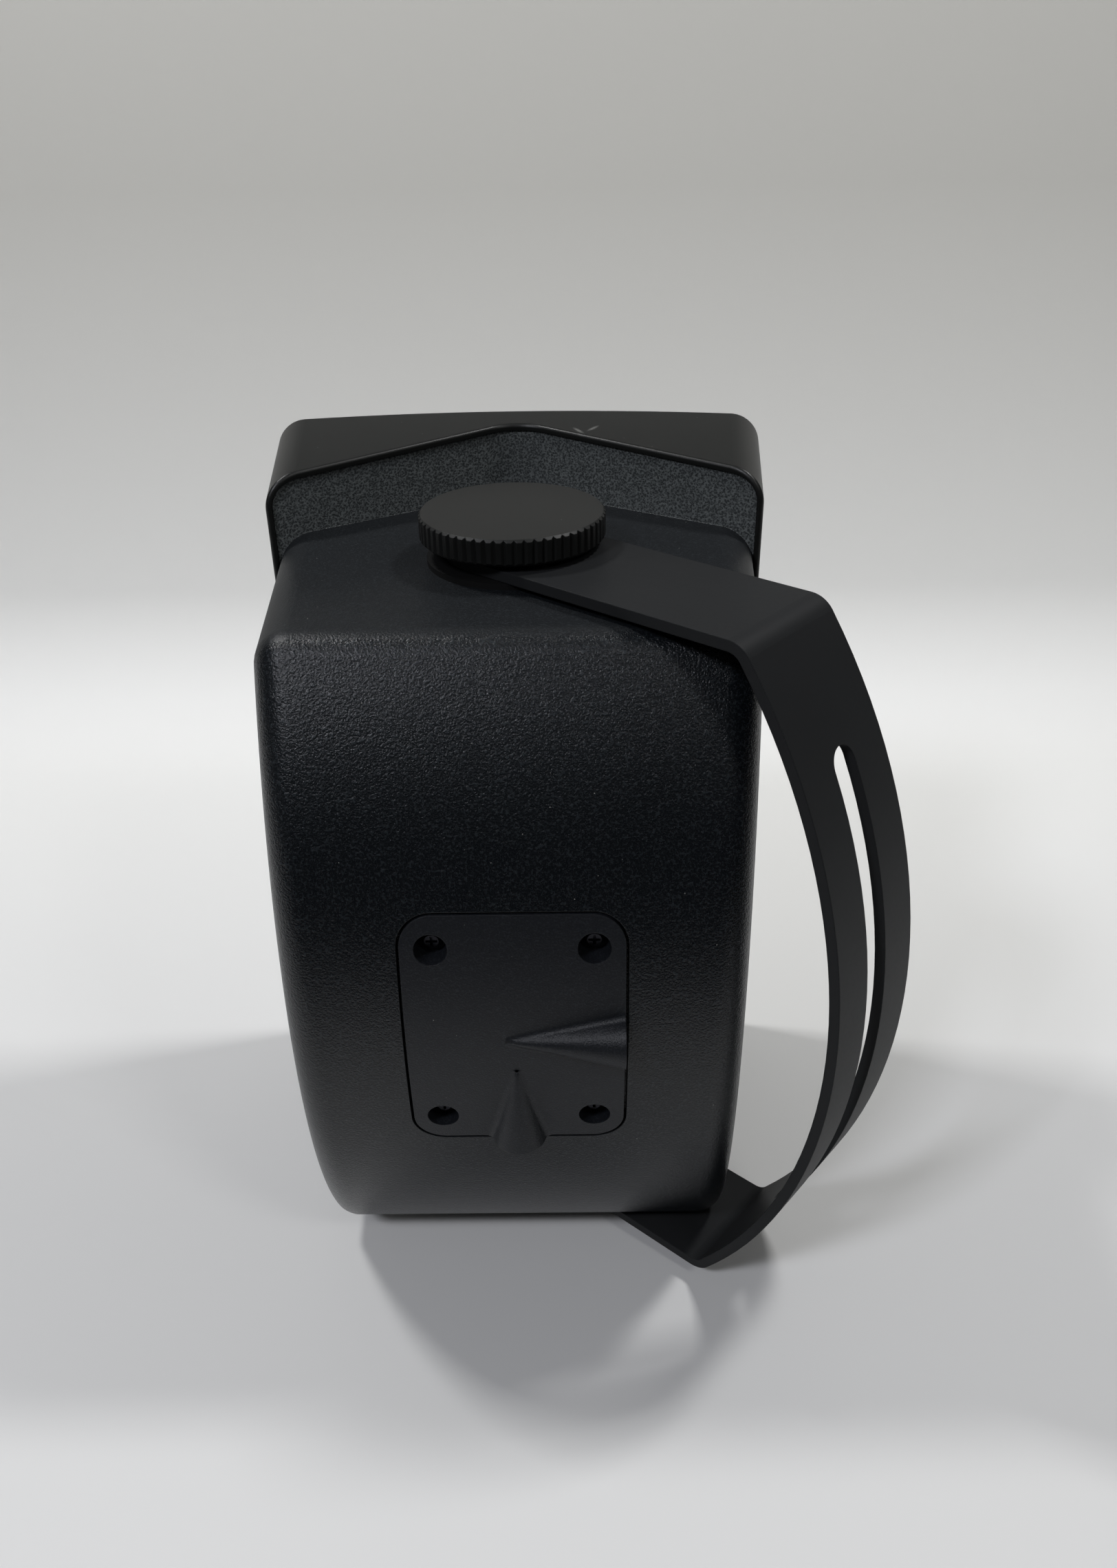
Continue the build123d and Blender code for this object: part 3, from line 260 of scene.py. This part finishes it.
# %% Cabinet, cover, frame and knobs
# The crest and wall colours below are painted glints, not the plastic's own tone.
cabinet_abs = moulded_abs("spark_eroded_black_abs", "#0C0F12", "#0F1215", 0.24, 0.28, 0.7, 0.13, drawn=0.5,
                          dust=0.5, painted_crest_glint="#23272A", painted_wall_glint="#606464")
finish_with(cabinet_abs, "cabinet_tub")
cover_abs = moulded_abs("fine_etched_black_abs", "#14161A", "#181A1E", 0.40, 0.28, 0.5, 0.08,
                        painted_crest_glint="#23262A")
finish_with(cover_abs, "terminal_cover")
frame_abs = moulded_abs("satin_black_abs", "#0F100F", "#131413", 0.38, 0.3, 0.4, 0.006, dust=0.5,
                        scuffs=((-22.2, -62.5, 280.4, -59), (-27.5, -64.5, 280.6, 52)))
finish_with(frame_abs, "front_frame")
knob_abs = moulded_abs("satin_knob_abs", "#0F100F", "#121312", 0.40, 0.33, 0.4, 0.006)
finish_with(knob_abs, "upper_knob", "lower_knob")

# %% [markdown]
# ## Powder-coated steel
# The bracket is a bent steel strap with a baked powder coat: a smooth satin skin with the faint ripple of
# fused powder. The coat is paint, so the shader isn't metallic. A Bevel node rounds the strap's edges for
# the light alone, where a Bevel modifier would change the CAD form.

# %% Bracket and grille paint
COAT_RIPPLE = 1.5 * MM
COAT_DEPTH = 0.006 * MM
COAT_EDGE = 0.5 * MM
COAT_CLOUD = 30 * MM


def powder_coat(name, colour, pale, roughness, gloss):
    """Satin powder coat with a soft ripple."""
    material, tree, shader = new_material(name, {"IOR": 1.5, "Specular IOR Level": gloss})
    place = add_node(tree, "ShaderNodeTexCoord")
    ripple = add_node(tree, "ShaderNodeTexNoise", {"Scale": 1 / COAT_RIPPLE, "Detail": 2.0},
                      {"Vector": (place, "Object")})
    edge = add_node(tree, "ShaderNodeBevel", {"Radius": COAT_EDGE, "samples": 4})
    bump = add_node(tree, "ShaderNodeBump", {"Distance": COAT_DEPTH},
                    {"Height": (ripple, "Fac"), "Normal": (edge, "Normal")})
    cloud = add_node(tree, "ShaderNodeTexNoise", {"Scale": 1 / COAT_CLOUD}, {"Vector": (place, "Object")})
    tone = add_node(tree, "ShaderNodeMix", {"data_type": "RGBA", 6: linear(colour), 7: linear(pale)},
                    {0: (cloud, "Fac")})
    rough = add_node(tree, "ShaderNodeMapRange", {3: roughness - 0.03, 4: roughness + 0.03},
                     {0: (ripple, "Fac")})
    connect(tree, shader, tone, rough, bump)
    return material


bracket_coat = powder_coat("powder_coated_strap_steel", "#1F2021", "#232425", 0.48, 0.12)
finish_with(bracket_coat, "bracket")
grille_coat = powder_coat("powder_coated_grille_steel", "#0E0E0F", "#121213", 0.45, 0.3)
basket_coat = powder_coat("powder_coated_basket_steel", "#101011", "#151516", 0.5, 0.3)
finish_with(basket_coat, "woofer_basket")

# %% [markdown]
# ## Rubber, cloth, metals and the rest of the inside
# The inner pieces are seldom seen, but each still gets what its real material shows: rubber is matt and a
# little uneven, plated steel is bright and smooth, copper wire varies quickly across its rows, and cloth is
# rough. One function covers them all, because they differ only in colour, gloss and the size of their
# spots.

# %% One function for the simple finishes
def plain_finish(name, colour, pale, settings, roughness, spot_mm, depth_mm, stretch=(1, 1, 1)):
    """A tone that drifts between two colours over spots of a given size, with its bump and roughness."""
    material, tree, shader = new_material(name, settings)
    place = add_node(tree, "ShaderNodeTexCoord")
    scaled = add_node(tree, "ShaderNodeMapping", {"Scale": stretch}, {"Vector": (place, "Object")})
    spots = add_node(tree, "ShaderNodeTexNoise", {"Scale": 1 / (spot_mm * MM), "Detail": 4.0},
                     {"Vector": (scaled, "Vector")})
    tone = add_node(tree, "ShaderNodeMix", {"data_type": "RGBA", 6: linear(colour), 7: linear(pale)},
                    {0: (spots, "Fac")})
    rough = add_node(tree, "ShaderNodeMapRange", {3: roughness - 0.06, 4: roughness + 0.06},
                     {0: (spots, "Fac")})
    bump = add_node(tree, "ShaderNodeBump", {"Distance": depth_mm * MM}, {"Height": (spots, "Fac")})
    connect(tree, shader, tone, rough, bump)
    return material


rubber = plain_finish("moulded_black_rubber", "#070707", "#0A0A0A", {"Specular IOR Level": 0.2}, 0.7, 1.2,
                      0.02)
finish_with(rubber, "lower_pad", "upper_pad", "cover_seal", "cable_grommets", "woofer_surround")
oxide = plain_finish("black_oxide_screw_steel", "#2C2C30", "#45454A", {"Metallic": 1.0}, 0.38, 0.5, 0.01)
finish_with(oxide, "cover_screws", "frame_screws", "woofer_screws", "tweeter_screws")
zinc = plain_finish("zinc_plated_steel", "#8F9194", "#A9ABAD", {"Metallic": 1.0}, 0.35, 0.8, 0.01)
finish_with(zinc, "lower_washer", "upper_washer", "lower_stud", "upper_stud", "board_screws",
            "woofer_top_plate", "woofer_yoke", "tweeter_top_plate", "tweeter_yoke")
brass = plain_finish("turned_brass", "#B08D4F", "#C6A565", {"Metallic": 1.0}, 0.32, 0.6, 0.01)
finish_with(brass, "lower_insert", "upper_insert", "terminal_screws")
cone = plain_finish("pressed_polypropylene", "#131315", "#1B1B1E", {"IOR": 1.49}, 0.42, 1.0, 0.02)
finish_with(cone, "woofer_cone", "woofer_dust_cap")
spider = plain_finish("varnished_spider_cloth", "#9C7A3E", "#B8975A", {"IOR": 1.5}, 0.75, 0.5, 0.04)
finish_with(spider, "woofer_spider")
former = plain_finish("rolled_aluminium_former", "#C2C4C6", "#D2D3D5", {"Metallic": 1.0}, 0.35, 0.6, 0.01)
finish_with(former, "woofer_coil_former")
copper = plain_finish("enamelled_copper_wire", "#8E4A2B", "#B4683F", {"Metallic": 1.0}, 0.3, 0.35, 0.05,
                      (1, 1, 4))
finish_with(copper, "woofer_winding", "tweeter_coil", "crossover_coil")
ferrite = plain_finish("ground_ferrite", "#2A2A2C", "#38383B", {"IOR": 2.0}, 0.55, 0.8, 0.03)
finish_with(ferrite, "woofer_magnet", "tweeter_magnet")
tweeter_abs = plain_finish("matt_tweeter_abs", "#0E0E10", "#141416", {"IOR": 1.53}, 0.5, 0.5, 0.015)
finish_with(tweeter_abs, "tweeter_plate", "terminal_block")
silk = plain_finish("coated_silk_dome", "#121214", "#1C1C1F", {"IOR": 1.5}, 0.55, 0.3, 0.03)
finish_with(silk, "tweeter_dome")
board = plain_finish("green_glass_epoxy_board", "#24512B", "#2F6236", {"IOR": 1.55}, 0.35, 1.0, 0.01)
finish_with(board, "crossover_board")
film = plain_finish("yellow_polyester_wrap", "#B79A2E", "#C8AB3C", {"IOR": 1.57}, 0.3, 2.0, 0.02)
finish_with(film, "crossover_capacitors")
cement = plain_finish("cast_cement", "#BDB8AE", "#CFCBC2", {"IOR": 1.5}, 0.85, 0.7, 0.05)
finish_with(cement, "crossover_resistor")

# %% [markdown]
# ## The grille's holes
# The CAD grille is a closed, bowed sheet with its edge turned back. The real one is steel punched full of
# small round holes in staggered rows, with a plain margin where the edge is folded. The holes could be cut
# with a Boolean, but nearly 3,000 cutters are slow and leave ragged faces. A grid of square cells, turned
# by 45 degrees, gives the same rows. First the flat grid is cut to the grille's outline. Each cut is a
# Bisect along a line that touches the outline, and a few of them round off each corner.

# %% A flat grid, cut to the outline
HOLE_PITCH = 4.0 * MM
HOLE_RADIUS = 1.4 * MM
PLAIN_MARGIN = 4.0 * MM
SHEET_THICK = 0.9 * MM
EDGE_RETURN = 4.9 * MM
EDGE_TAPER = math.tan(math.radians(5.6))
BOW_DEPTH = 7.0 * MM
CORNER_RADIUS = 9.0 * MM
CORNER_CUTS = 32
OUTLINE_MARGIN = 0.2 * MM
PRESS_STROKE = 20 * MM
WHOLE_CELL = 0.99
grille_low, grille_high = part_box("grille")
middle = (grille_low + grille_high) / 2
half_width = (grille_high.x - grille_low.x) / 2 - OUTLINE_MARGIN
half_height = (grille_high.z - grille_low.z) / 2 - BOW_DEPTH * EDGE_TAPER - OUTLINE_MARGIN
rows = int((half_width + half_height) * 1.5 / HOLE_PITCH) * 2

bpy.ops.object.select_all(action="DESELECT")
bpy.ops.mesh.primitive_grid_add(x_subdivisions=rows, y_subdivisions=rows, size=rows * HOLE_PITCH)
sheet = bpy.context.object
sheet.name = "perforated_grille"
sheet.data.name = "perforated_grille"
bpy.ops.object.mode_set(mode="EDIT")
bpy.ops.mesh.select_all(action="SELECT")
bpy.ops.transform.rotate(value=math.radians(45), orient_axis="Z", center_override=(0, 0, 0))
for step in range(CORNER_CUTS):
    angle = math.radians(360 / CORNER_CUTS * step)
    outward = Vector((math.cos(angle), math.sin(angle), 0))
    corner = Vector((math.copysign(half_width - CORNER_RADIUS, outward.x),
                     math.copysign(half_height - CORNER_RADIUS, outward.y), 0))
    bpy.ops.mesh.select_all(action="SELECT")
    bpy.ops.mesh.bisect(plane_co=corner + outward * CORNER_RADIUS, plane_no=outward, clear_outer=True)
bpy.ops.object.mode_set(mode="OBJECT")
print("cells after the cuts:", len(sheet.data.polygons))

# %% [markdown]
# Every whole cell away from the edge gets a hole. Inset draws a smaller square in each cell, and a bevel
# of its corner points makes it eight-sided, which looks round at this size. The middles stay until the
# edge has been folded, so that the outline is the only open edge for now.

# %% Eight-sided middles in the whole cells
bpy.ops.object.mode_set(mode="EDIT")
bpy.ops.mesh.select_all(action="DESELECT")
bpy.ops.mesh.select_mode(type="FACE")
bpy.ops.object.mode_set(mode="OBJECT")
for cell in sheet.data.polygons:
    whole = cell.area > WHOLE_CELL * HOLE_PITCH**2
    inside_x = abs(cell.center.x) < half_width - PLAIN_MARGIN
    inside_y = abs(cell.center.y) < half_height - PLAIN_MARGIN
    cell.select = whole and inside_x and inside_y
bpy.ops.object.mode_set(mode="EDIT")
bpy.ops.mesh.inset(use_individual=True, thickness=HOLE_PITCH / 2 - HOLE_RADIUS)
bpy.ops.mesh.bevel(affect="VERTICES", offset=HOLE_RADIUS * (2 - math.sqrt(2)), segments=1)
bpy.ops.object.mode_set(mode="OBJECT")
print("holes to open:", sum(1 for cell in sheet.data.polygons if len(cell.vertices) == 8))

# %% [markdown]
# The flat sheet is stood up in front of the speaker and pressed straight back onto the CAD grille with a
# Shrinkwrap modifier, which gives it the bow. Then its outline is extruded backwards and drawn in a
# little, as a press brake folds it, the middles are deleted, and Solidify gives the steel its thickness
# towards the inside.

# %% Press, fold, open the holes and thicken
bpy.ops.object.mode_set(mode="EDIT")
bpy.ops.mesh.select_all(action="SELECT")
bpy.ops.transform.rotate(value=math.radians(90), orient_axis="X", center_override=(0, 0, 0))
bpy.ops.transform.translate(value=(middle.x, grille_low.y - PRESS_STROKE, middle.z))
bpy.ops.object.mode_set(mode="OBJECT")
if sheet.data.polygons[0].normal.y > 0:
    sheet.data.flip_normals()
press = sheet.modifiers.new("press", "SHRINKWRAP")
press.target = solids["grille"]
press.wrap_method = "PROJECT"
press.use_project_y = True
press.use_positive_direction = True
bpy.ops.object.modifier_apply(modifier="press")
missed = sum(1 for point in sheet.data.vertices if point.co.y < grille_low.y - 1 * MM)
print("points that the press missed:", missed)

bpy.ops.object.mode_set(mode="EDIT")
bpy.ops.mesh.select_mode(type="EDGE")
bpy.ops.mesh.select_all(action="DESELECT")
bpy.ops.mesh.select_non_manifold(
    use_wire=False, use_multi_face=False, use_non_contiguous=False, use_verts=False)
bpy.ops.mesh.extrude_edges_move(TRANSFORM_OT_translate={"value": (0, EDGE_RETURN, 0)})
drawn_in = EDGE_RETURN * EDGE_TAPER
bpy.ops.transform.resize(
    value=(1 - drawn_in / half_width, 1, 1 - drawn_in / half_height), center_override=middle)
bpy.ops.mesh.select_mode(type="FACE")
bpy.ops.mesh.select_face_by_sides(number=8, type="EQUAL", extend=False)
bpy.ops.mesh.delete(type="FACE")
bpy.ops.object.mode_set(mode="OBJECT")
steel = sheet.modifiers.new("steel", "SOLIDIFY")
steel.thickness = SHEET_THICK
steel.offset = -1.0
bpy.ops.object.modifier_apply(modifier="steel")
sheet.data.materials.append(grille_coat)
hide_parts("grille")
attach(sheet, "cabinet")
sheet.data.calc_loop_triangles()
print("grille triangles:", len(sheet.data.loop_triangles))

# %% [markdown]
# ## The woofer's rubber edge
# The cone moves 3 mm each way, and the half-round rubber edge between it and the basket flexes. A ring
# that rides on one body can't show that, and a blend between two bodies runs along one straight line, not
# outwards all round. So copies of the CAD ring are cut into sectors with two Bisects each, and each
# sector's outward direction is worked out, though nothing here makes the sectors blend. The cuts are
# filled, so each sector is a closed solid, and only its true edges are marked sharp.

# %% Sectors of the rubber edge
SECTORS = 24
SAME_POINT = 0.001 * MM
SHARP_ANGLE = math.radians(35)
ring = solids["woofer_surround"]
ring_low, ring_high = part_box("woofer_surround")
hub = (ring_low + ring_high) / 2

for number in range(SECTORS):
    sector = bpy.data.objects.new(f"surround_sector_{number + 1:02d}", ring.data.copy())
    sector.data.transform(ring.matrix_world)
    bpy.context.collection.objects.link(sector)
    bpy.ops.object.select_all(action="DESELECT")
    sector.select_set(True)
    bpy.context.view_layer.objects.active = sector
    bpy.ops.object.mode_set(mode="EDIT")
    bpy.ops.mesh.select_all(action="SELECT")
    bpy.ops.mesh.remove_doubles(threshold=SAME_POINT)
    for side in (-1, 1):
        angle = 2 * math.pi * (number + side / 2) / SECTORS
        across = Vector((-math.sin(angle), 0, math.cos(angle))) * side
        bpy.ops.mesh.select_all(action="SELECT")
        bpy.ops.mesh.bisect(plane_co=hub, plane_no=across, clear_outer=True, use_fill=True)
    bpy.ops.mesh.select_all(action="SELECT")
    bpy.ops.mesh.faces_shade_smooth()
    bpy.ops.mesh.select_mode(type="EDGE")
    bpy.ops.mesh.select_all(action="DESELECT")
    bpy.ops.mesh.edges_select_sharp(sharpness=SHARP_ANGLE)
    bpy.ops.mesh.mark_sharp()
    bpy.ops.object.mode_set(mode="OBJECT")
    angle = 2 * math.pi * number / SECTORS
    outward = Vector((math.cos(angle), 0, math.sin(angle)))
    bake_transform(sector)
    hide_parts("woofer_surround")
print("sectors:", SECTORS, "with", len(sector.data.polygons), "faces in the last one")

# %% [markdown]
# ## Floor and backdrop
# The speaker stands on a pale sheet that curves up behind it. It leans back a little: it rests on the
# front frame's lower edge and on the rim of the lower knob. The CAD model is upright, so the floor is
# tilted by that lean instead, and touches both. The sheet is a plane whose far edge is extruded upwards,
# with a wide bevel as its curve. A flat floor and a separate wall would show a hard line between them. On
# the camera's side the sheet ends just outside the picture, as a table does. Two gradients along Y and Z
# paint light and shade on its paper, in place of the way the lamps' light falls off: it is palest under the
# speaker's far side, a little darker towards the camera and greyer up the wall.

# %% Floor and sweep
FLOOR_FRONT_EDGE = Vector((0.0, -84.2, -10.75)) * MM
FLOOR_KNOB_EDGE = Vector((0.0, 29.2, 0.0)) * MM
FLOOR_NEAR = 0.28
FLOOR_FAR = -0.52
FLOOR_WIDTH = 5.0
WALL_HEIGHT = 0.56
WALL_SLOPE = -0.04
SWEEP_RADIUS = 0.1
SWEEP_STEPS = 24
PAPER_FAR_LIT, PAPER_NEAR_SHADED = "#E6E6E4", "#DFDFDE"
PAPER_WALL_SHADED = "#B9B8B3"
lean = math.atan2(FLOOR_KNOB_EDGE.z - FLOOR_FRONT_EDGE.z, FLOOR_KNOB_EDGE.y - FLOOR_FRONT_EDGE.y)
print("lean in degrees:", round(math.degrees(lean), 2))

bpy.ops.object.select_all(action="DESELECT")
bpy.ops.mesh.primitive_plane_add(size=1.0)
floor = bpy.context.object
floor.name = "pale_sweep"
bpy.ops.object.mode_set(mode="EDIT")
bpy.ops.mesh.select_mode(type="EDGE")
bpy.ops.mesh.select_all(action="SELECT")
bpy.ops.transform.resize(value=(FLOOR_WIDTH, FLOOR_NEAR - FLOOR_FAR, 1.0))
bpy.ops.transform.translate(value=(0.0, (FLOOR_NEAR + FLOOR_FAR) / 2, 0.0))
bpy.ops.mesh.select_all(action="DESELECT")
bpy.ops.object.mode_set(mode="OBJECT")
for edge in floor.data.edges:
    edge.select = all(floor.data.vertices[i].co.y < FLOOR_FAR + 0.01 for i in edge.vertices)
bpy.ops.object.mode_set(mode="EDIT")
bpy.ops.mesh.extrude_region_move(TRANSFORM_OT_translate={"value": (0.0, WALL_SLOPE, WALL_HEIGHT)})
bpy.ops.object.mode_set(mode="OBJECT")
fold = floor.modifiers.new("fold", "BEVEL")
fold.width = SWEEP_RADIUS
fold.segments = SWEEP_STEPS
bpy.ops.object.modifier_apply(modifier="fold")
bpy.ops.object.shade_smooth()
floor.matrix_world = Matrix.Translation(FLOOR_KNOB_EDGE) @ Matrix.Rotation(lean, 4, "X")
bpy.ops.object.transform_apply(location=True, rotation=True, scale=True)

# %% The floor's paper
paper, paper_tree, paper_shader = new_material(
    "pale_paper_painted_shade", {"Roughness": 0.9, "Specular IOR Level": 0.1})
paper_place = add_node(paper_tree, "ShaderNodeTexCoord")
paper_axes = add_node(paper_tree, "ShaderNodeSeparateXYZ", links={0: (paper_place, "Object")})
# Painted shade: the paper is greyer up the wall and a little darker towards the camera.
wall_painted_shade = add_node(paper_tree, "ShaderNodeMapRange", {1: -0.02, 2: 0.32}, {0: (paper_axes, "Z")})
near_painted_shade = add_node(paper_tree, "ShaderNodeMapRange", {1: -0.3, 2: 0.05}, {0: (paper_axes, "Y")})
floor_painted_light = add_node(
    paper_tree, "ShaderNodeMix", {"data_type": "RGBA", 6: linear(PAPER_FAR_LIT), 7: linear(PAPER_NEAR_SHADED)},
    {0: (near_painted_shade, "Result")})
paper_with_painted_shade = add_node(paper_tree, "ShaderNodeMix", {"data_type": "RGBA", 7: linear(PAPER_WALL_SHADED)},
                      {0: (wall_painted_shade, "Result"), 6: (floor_painted_light, 2)})
paper_tree.links.new(paper_with_painted_shade.outputs[2], paper_shader.inputs["Base Color"])
floor.data.materials.append(paper)
print("floor faces:", len(floor.data.polygons))

# %% [markdown]
# ## Light
# The shadows in the photograph tell where its lamps were. The darkest patch in front of the speaker is
# where two shadows overlap, so two compact lamps hang high behind it, one on each side, and each lights
# what the other leaves dark. Two more are high in front. Theirs are the faint shadows beside the speaker,
# and the left one gives the upper back its sheen. A long lamp with a narrow spread adds a little to the
# backdrop. They could be point or sun lights, but an area light has the flat face of a real ceiling lamp,
# and its width sets how soft each shadow's edge is.

# %% Lamps
def soft_box(name, place, aim, size, power, colour="#FFFFFF", spread=180):
    """A rectangular area light that points at a place. A grid narrows its spread, in degrees."""
    lamp = bpy.data.lights.new(name, "AREA")
    lamp.shape = "RECTANGLE"
    lamp.size, lamp.size_y = size
    lamp.energy = power
    lamp.color = linear(colour)[:3]
    lamp.spread = math.radians(spread)
    holder = bpy.data.objects.new(name, lamp)
    bpy.context.collection.objects.link(holder)
    holder.location = place
    holder.rotation_euler = (Vector(aim) - Vector(place)).to_track_quat("-Z", "Y").to_euler()
    print(name, "at", [round(v, 2) for v in place], "with", power, "W")


soft_box("back_left_lamp", (0.60, -0.26, 1.30), (0.0, 0.0, 0.1), (0.16, 0.16), 6.8)
soft_box("back_right_lamp", (-0.60, -0.20, 1.30), (0.0, 0.0, 0.1), (0.16, 0.16), 6.8)
soft_box("front_left_lamp", (0.68, 0.90, 1.30), (0.0, 0.05, 0.2), (0.24, 0.24), 9.6, "#F4F6FF")
soft_box("front_right_lamp", (-0.70, 0.90, 1.30), (0.0, 0.05, 0.2), (0.24, 0.24), 2.6)
soft_box("backdrop_lamp", (0.04, -0.42, 0.95), (0.02, -0.50, 0.0), (1.6, 0.2), 0.35, spread=60)

# %% [markdown]
# Black plastic shows what it mirrors more than its own colour, so the room behind the camera matters too.
# It is dark at table height, and a black card that the camera itself does not see stands in for it. The
# world gives the rest, an even pale grey. The Standard view transform keeps the tones as they are set.

# %% The black card and the world
CARD_DISTANCE = 0.8
CARD_WIDTH = 3.0
CARD_LOW = -0.4
CARD_HIGH = 0.24
CARD_COLOUR = "#161616"
WORLD_COLOUR = "#DADBDC"
WORLD_STRENGTH = 0.1
bpy.ops.object.select_all(action="DESELECT")
bpy.ops.mesh.primitive_plane_add(size=1.0)
card = bpy.context.object
card.name = "black_card"
bpy.ops.object.mode_set(mode="EDIT")
bpy.ops.mesh.select_all(action="SELECT")
bpy.ops.transform.rotate(value=math.radians(90), orient_axis="X", center_override=(0, 0, 0))
bpy.ops.transform.resize(value=(CARD_WIDTH, 1.0, CARD_HIGH - CARD_LOW))
bpy.ops.transform.translate(value=(0.0, CARD_DISTANCE, (CARD_HIGH + CARD_LOW) / 2))
bpy.ops.object.mode_set(mode="OBJECT")
felt = new_material(
    "black_felt_card", {"Base Color": linear(CARD_COLOUR), "Roughness": 1.0, "Specular IOR Level": 0.0})[0]
card.data.materials.append(felt)
card.visible_camera = False

world = bpy.data.worlds.new("soft_room")
bpy.context.scene.world = world
world.use_nodes = True
sky = world.node_tree.nodes["Background"]
sky.inputs["Color"].default_value = linear(WORLD_COLOUR)
sky.inputs["Strength"].default_value = WORLD_STRENGTH
bpy.context.scene.view_settings.view_transform = "Standard"
print("card height in m:", CARD_HIGH - CARD_LOW, "world strength:", WORLD_STRENGTH)
